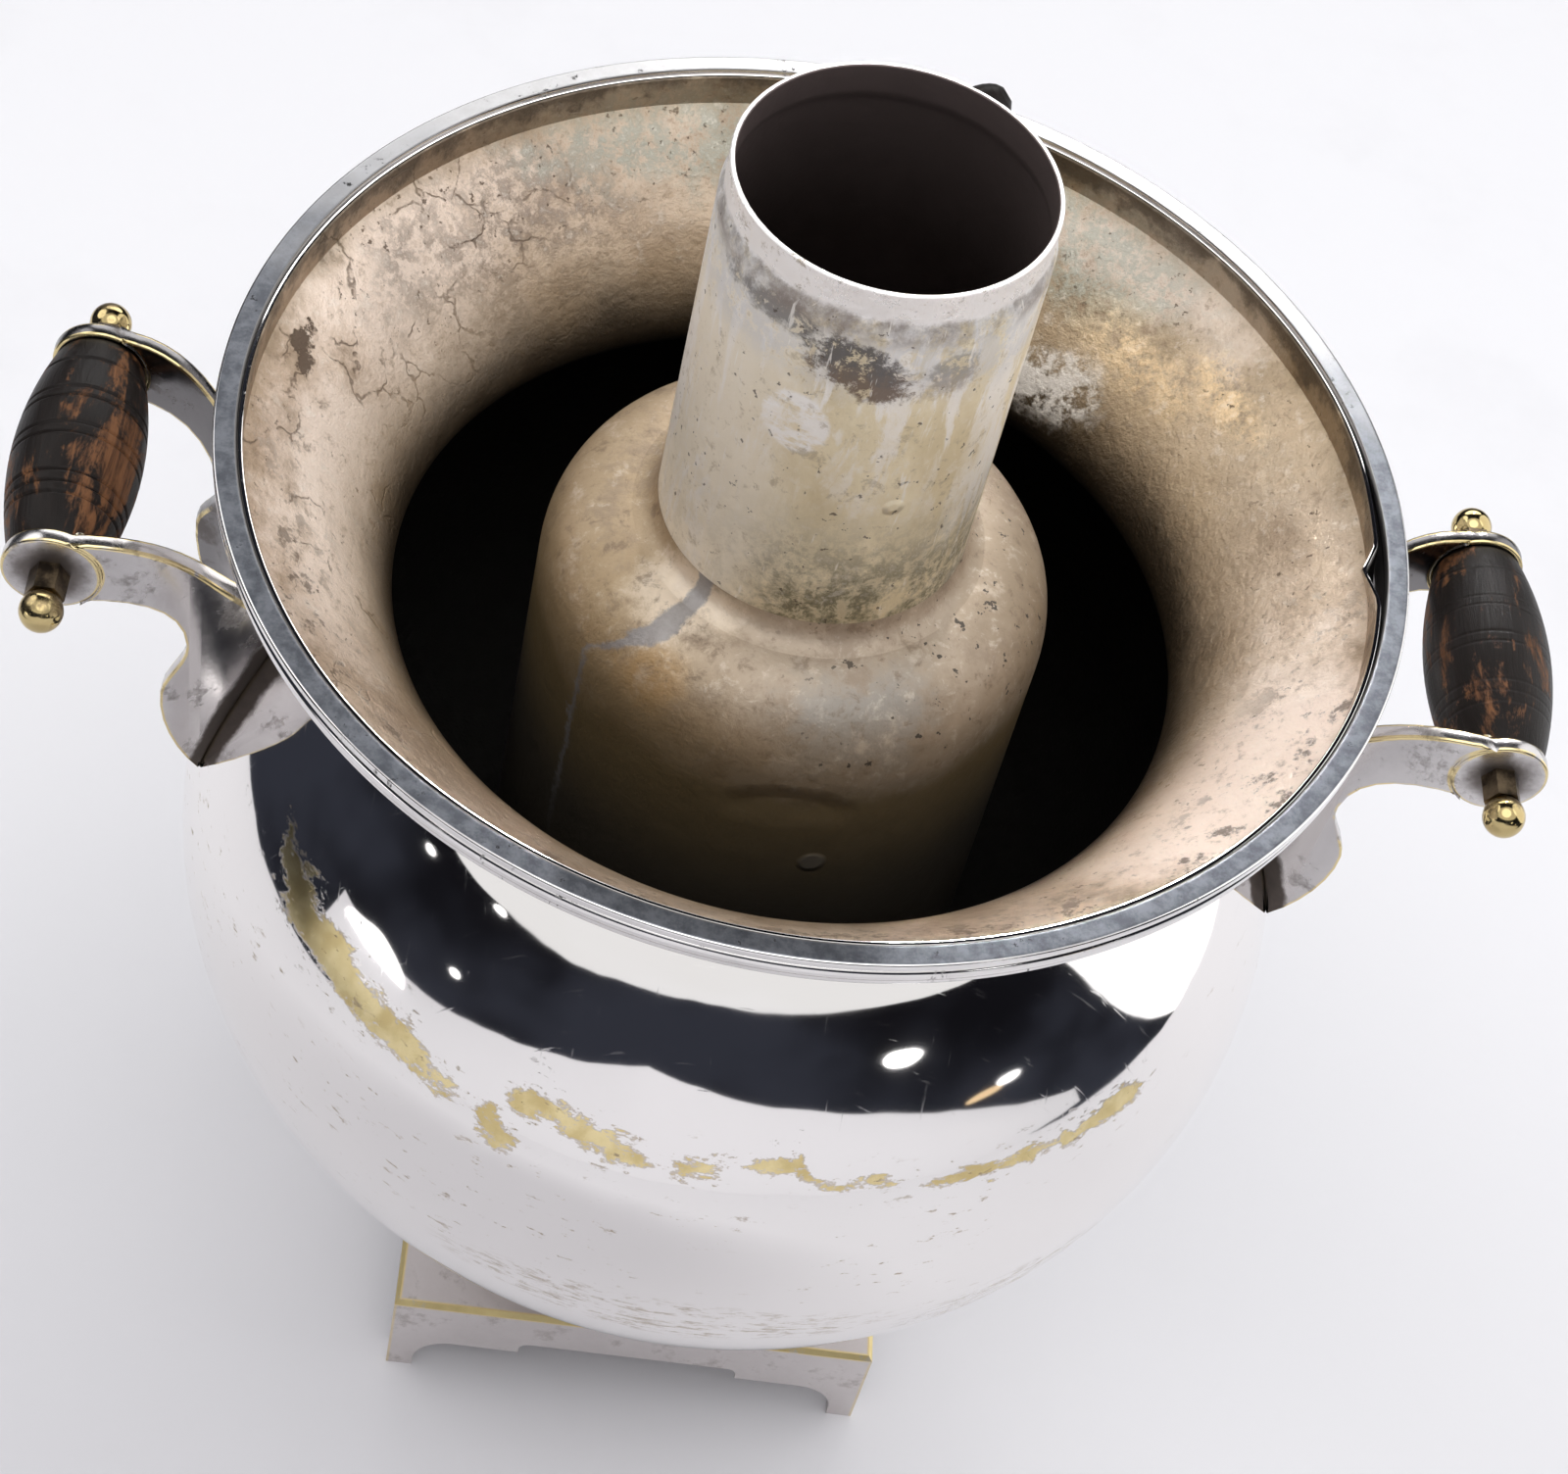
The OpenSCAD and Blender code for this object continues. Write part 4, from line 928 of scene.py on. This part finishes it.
arm_y = 35.0
nut_flat_r, nut_h, ball_r, ball_out = 4.0, 7.4, 5.1, 11.2
seats = [(side * rod_x, end * arm_y, rod_z) for side in (-1, 1) for end in (-1, 1)]
nut_seats = dotted("nut_seats", seats)
ways = nut_seats.data.attributes.new("way", "FLOAT_VECTOR", "POINT")
for entry, seat in zip(ways.data, seats):
    entry.vector = (0, math.copysign(1, seat[1]), 0)
nuts = made_plain("ball_nuts", nut_seats, nutting, {
    "Collar radius": nut_flat_r / 1000 / math.cos(math.radians(30)), "Collar height": nut_h / 1000,
    "Ball radius": ball_r / 1000, "Ball distance": ball_out / 1000,
    "Collar finish": dirty_brass("dirty_brass"), "Ball finish": bright_brass("handled_brass", 0.17, 0.75)})
hold(nuts, "vessel", "brass", "acorn_nuts")
dressed("grip_rods", brass_finish)


# Grips: turned hardwood barrels that spin on the rods, with groups of scored lines.
# Black stain worn through to brown wood, the right one more than the left.

def worn_wood(name, bare, seed, rod=0.0):
    mat, where, xyz = finish_tree(name)
    fibre = clouds(stretched(where, (420, 22, 420), shift=(seed, 0, 0)), 1.0, 7.0, 0.68, 0.6)
    wood = tint(ease(fibre, 0.32, 0.68), (0.045, 0.019, 0.010), (0.22, 0.098, 0.043))
    stain = tint(fibre, (0.004, 0.0035, 0.003), (0.020, 0.014, 0.012))
    rub = clouds(stretched(where, (1, 0.45, 1), shift=(0, seed, 0)), 75.0, 9.0, 0.74, 0.5)
    inward = calc("SUBTRACT", rod, calc("ABSOLUTE", xyz[0])) if rod else 0.0
    rub = raised(rub, inward, 5.0)
    bared = ease(shaken(rub, fibre, 0.24), bare, bare + 0.09)
    normal = dents(bared, 0.30, -0.0003, dents(fibre, 0.45, 0.0007))
    return finished(mat, tint(bared, stain, wood), raised(0.40, bared, 0.16), normal, gloss=0.16)


grip_half, grip_bore, grip_steps = 30.65, 2.58, 240
end_r, swell, roundness, cut_half = 10.4, 5.0, 0.8, 0.55
scored = (9.5, 12.5, 15.5, 26.5, 29.5, 38.5, 41.5, 52.5)


def grip_outline(score):
    line = []
    for i in range(grip_steps + 1):
        share = i / grip_steps
        run = 2 * grip_half * share
        r = end_r + swell * math.sin(math.pi * share) ** roundness
        cut = max(score * max(0.0, 1 - abs(run - s) / cut_half) for s in scored)
        line.append((r - cut, run - grip_half))
    return [(grip_bore, -grip_half)] + line + [(grip_bore, grip_half)]


laid_along = Matrix.Rotation(math.radians(90), 4, "X")
for side, body, bare, seed, score in ((1, "grip_right", 0.52, 0.0, 0.5), (-1, "grip_left", 0.55, 7.0, 0.12)):
    place = Matrix.Translation((side * rod_x / 1000, 0, rod_z / 1000)) @ laid_along
    stained = worn_wood(body + "_stain", bare, seed, rod_x / 1000)
    grip = turned(body + "_wood", grip_outline(score), 96, stained, place=place, crisp=55)
    hold(grip, body, "dark_wood", body)


# Tap: a rosette on the belly, a cast barrel with a spout, and a ground plug with a wooden-knobbed key.
# Plated like the brackets outside, bare brass where the parts turn on each other.

for node in ("tap_flange", "tap_barrel"):
    dressed(node, bracket_finish)
for node in ("tap_plug", "key_lever", "plug_washer", "plug_nut"):
    dressed(node, brass_finish)
dressed("key_knob", worn_wood("knob_stain", 0.62, 3.0))


# Table, lamps and camera: a white table with a rising front edge in a dark room.
# Two soft lamps above, soft ones behind and at both sides, a narrow one into the mouth and a few small spots.

def table_paint():
    mat, where, xyz = finish_tree("table_white")
    smudges = times(ease(clouds(where, 8.0, 5.0, 0.6), 0.50, 0.72), 0.12)
    # Painted shadow and shade on the table: a soft dark patch near the front and greyer towards the front,
    # with faint smudges
    painted_shadow = patch(where, 0.0, (180, 380, 0), (350, 350, 350), 1.3)
    painted_shade_to_front = ease(xyz[1], -0.30, 0.35, 0.0, 0.4)
    white = tint(most(smudges, painted_shade_to_front, painted_shadow), (0.93, 0.925, 0.955), (0.66, 0.65, 0.68))
    return finished(mat, white, 0.6, gloss=0.25)


def staged(name, points, faces, finish):
    mesh = bpy.data.meshes.new(name)
    mesh.from_pydata(points, [], faces)
    mesh.shade_smooth()
    mesh.materials.append(finish)
    added(name, mesh)


def at_bearing(turn, off, height):
    a = math.radians(turn)
    return (-math.sin(a) * off, math.cos(a) * off, height)


def between(points, x):
    for (x0, y0), (x1, y1) in zip(points, points[1:]):
        if x <= x1:
            return y0 + (y1 - y0) * (x - x0) / (x1 - x0)
    return points[-1][1]


table_finish = table_paint()
left_end, right_end, far_end, near_end = 0.88, -0.95, -2.2, 1.5
table_corners = [(right_end, far_end, 0), (left_end, far_end, 0),
                 (left_end, near_end, 0), (right_end, near_end, 0)]
staged("table_top", table_corners, [(0, 1, 2, 3)], table_finish)

# Bearing in degrees and height in metres along the upper edge of the raised front
front_edge = ((-76, 0.36), (-55, 0.38), (-38, 0.52), (-22, 0.67), (-12, 0.80), (0, 0.72), (14, 0.61),
              (28, 0.50), (43, 0.36), (66, 0.012))
steps_up, steps_round = 8, 71
sweep_start, sweep_depth, sweep_gap, sweep_bend = 1.15, 0.57, 0.0004, 1.5
sweep_points = []
sweep_faces = []
for j in range(steps_up + 1):
    rise = j / steps_up
    for i in range(steps_round + 1):
        turn = front_edge[0][0] + (front_edge[-1][0] - front_edge[0][0]) * i / steps_round
        height = sweep_gap + between(front_edge, turn) * rise ** sweep_bend
        sweep_points.append(at_bearing(turn, sweep_start + sweep_depth * rise, height))
for j in range(steps_up):
    for i in range(steps_round):
        a = j * (steps_round + 1) + i
        sweep_faces.append((a, a + 1, a + steps_round + 2, a + steps_round + 1))
staged("front_sweep", sweep_points, sweep_faces, table_finish)


def facing(place, aim):
    turn = (Vector(aim) - Vector(place)).to_track_quat("-Z", "Y")
    return Matrix.Translation(place) @ turn.to_matrix().to_4x4()


def lamp(name, place, aim, wide, high, radiance, tone=(1, 1, 1), spread=180):
    data = bpy.data.lights.new(name, "AREA")
    data.shape = "ELLIPSE"
    data.size = wide
    data.size_y = high
    data.energy = radiance * math.pi * (math.pi * wide * high / 4)
    data.color = tone
    data.spread = math.radians(spread)
    added(name, data).matrix_world = facing(place, aim)


middle = (0, 0, 0.22)


def round_room(turn, rise, off=1.6):
    e = math.radians(rise)
    return at_bearing(turn, math.cos(e) * off, middle[2] + math.sin(e) * off)


lamp("ceiling", (0, 0.85, 1.75), (0, 0.85, 0), 4.1, 2.5, 0.90)
lamp("overhead", (0, 0.55, 1.70), (0, 0.55, 0), 1.4, 1.4, 1.4)
lamp("behind", (-0.15, -2.0, 1.46), (-0.15, -1.134, 0.96), 2.6, 1.25, 2.8)
lamp("mouth_beam", round_room(170, 40), (-0.07, 0.08, 0.31), 0.25, 0.25, 0.40, spread=8)
lamp("left_window", round_room(105, 20, 1.9), middle, 2.2, 3.2, 1.4)
lamp("right_fill", round_room(-112, 38, 1.9), middle, 1.6, 1.3, 1.9)
lamp("right_lamp", round_room(-65, 2), middle, 0.46, 0.30, 1.8)
lamp("big_spot", round_room(36, 21), middle, 0.20, 0.12, 4.0)
for turn, rise, size in ((-72, 27, 0.06), (-52, 32, 0.07), (-51, 15, 0.07)):
    lamp("spot_%d_%d" % (-turn, rise), round_room(turn, rise), middle, size, 0.7 * size, 3.0)
lamp("side_spot", round_room(54, 6), middle, 0.14, 0.06, 2.0)
lamp("warm_spot", round_room(49, 5), middle, 0.20, 0.05, 1.0, (1.0, 0.72, 0.40))

world = bpy.data.worlds.new("dark_room")
world.use_nodes = True
room = world.node_tree
gloom = clouds(put(room, "ShaderNodeTexCoord").outputs["Generated"], 1.3, 3.0, 0.5)
dimness = tint(ease(gloom, 0.40, 0.66), (0.006, 0.006, 0.008), (0.032, 0.035, 0.048))
feed(room.nodes["Background"], "Color", dimness)
scene.world = world

eye = bpy.data.cameras.new("photo_camera")
eye.sensor_width = 36
eye.sensor_fit = "HORIZONTAL"
eye.lens = 76.32
eye.clip_start = 0.02
camera = added("photo_camera", eye)
eye_place, eye_aim, eye_roll = (0.0787, 0.5297, 0.8896), (-0.00893, -0.00767, 0.22), 15.19
camera.matrix_world = facing(eye_place, eye_aim) @ Matrix.Rotation(math.radians(eye_roll), 4, "Z")
scene.camera = camera
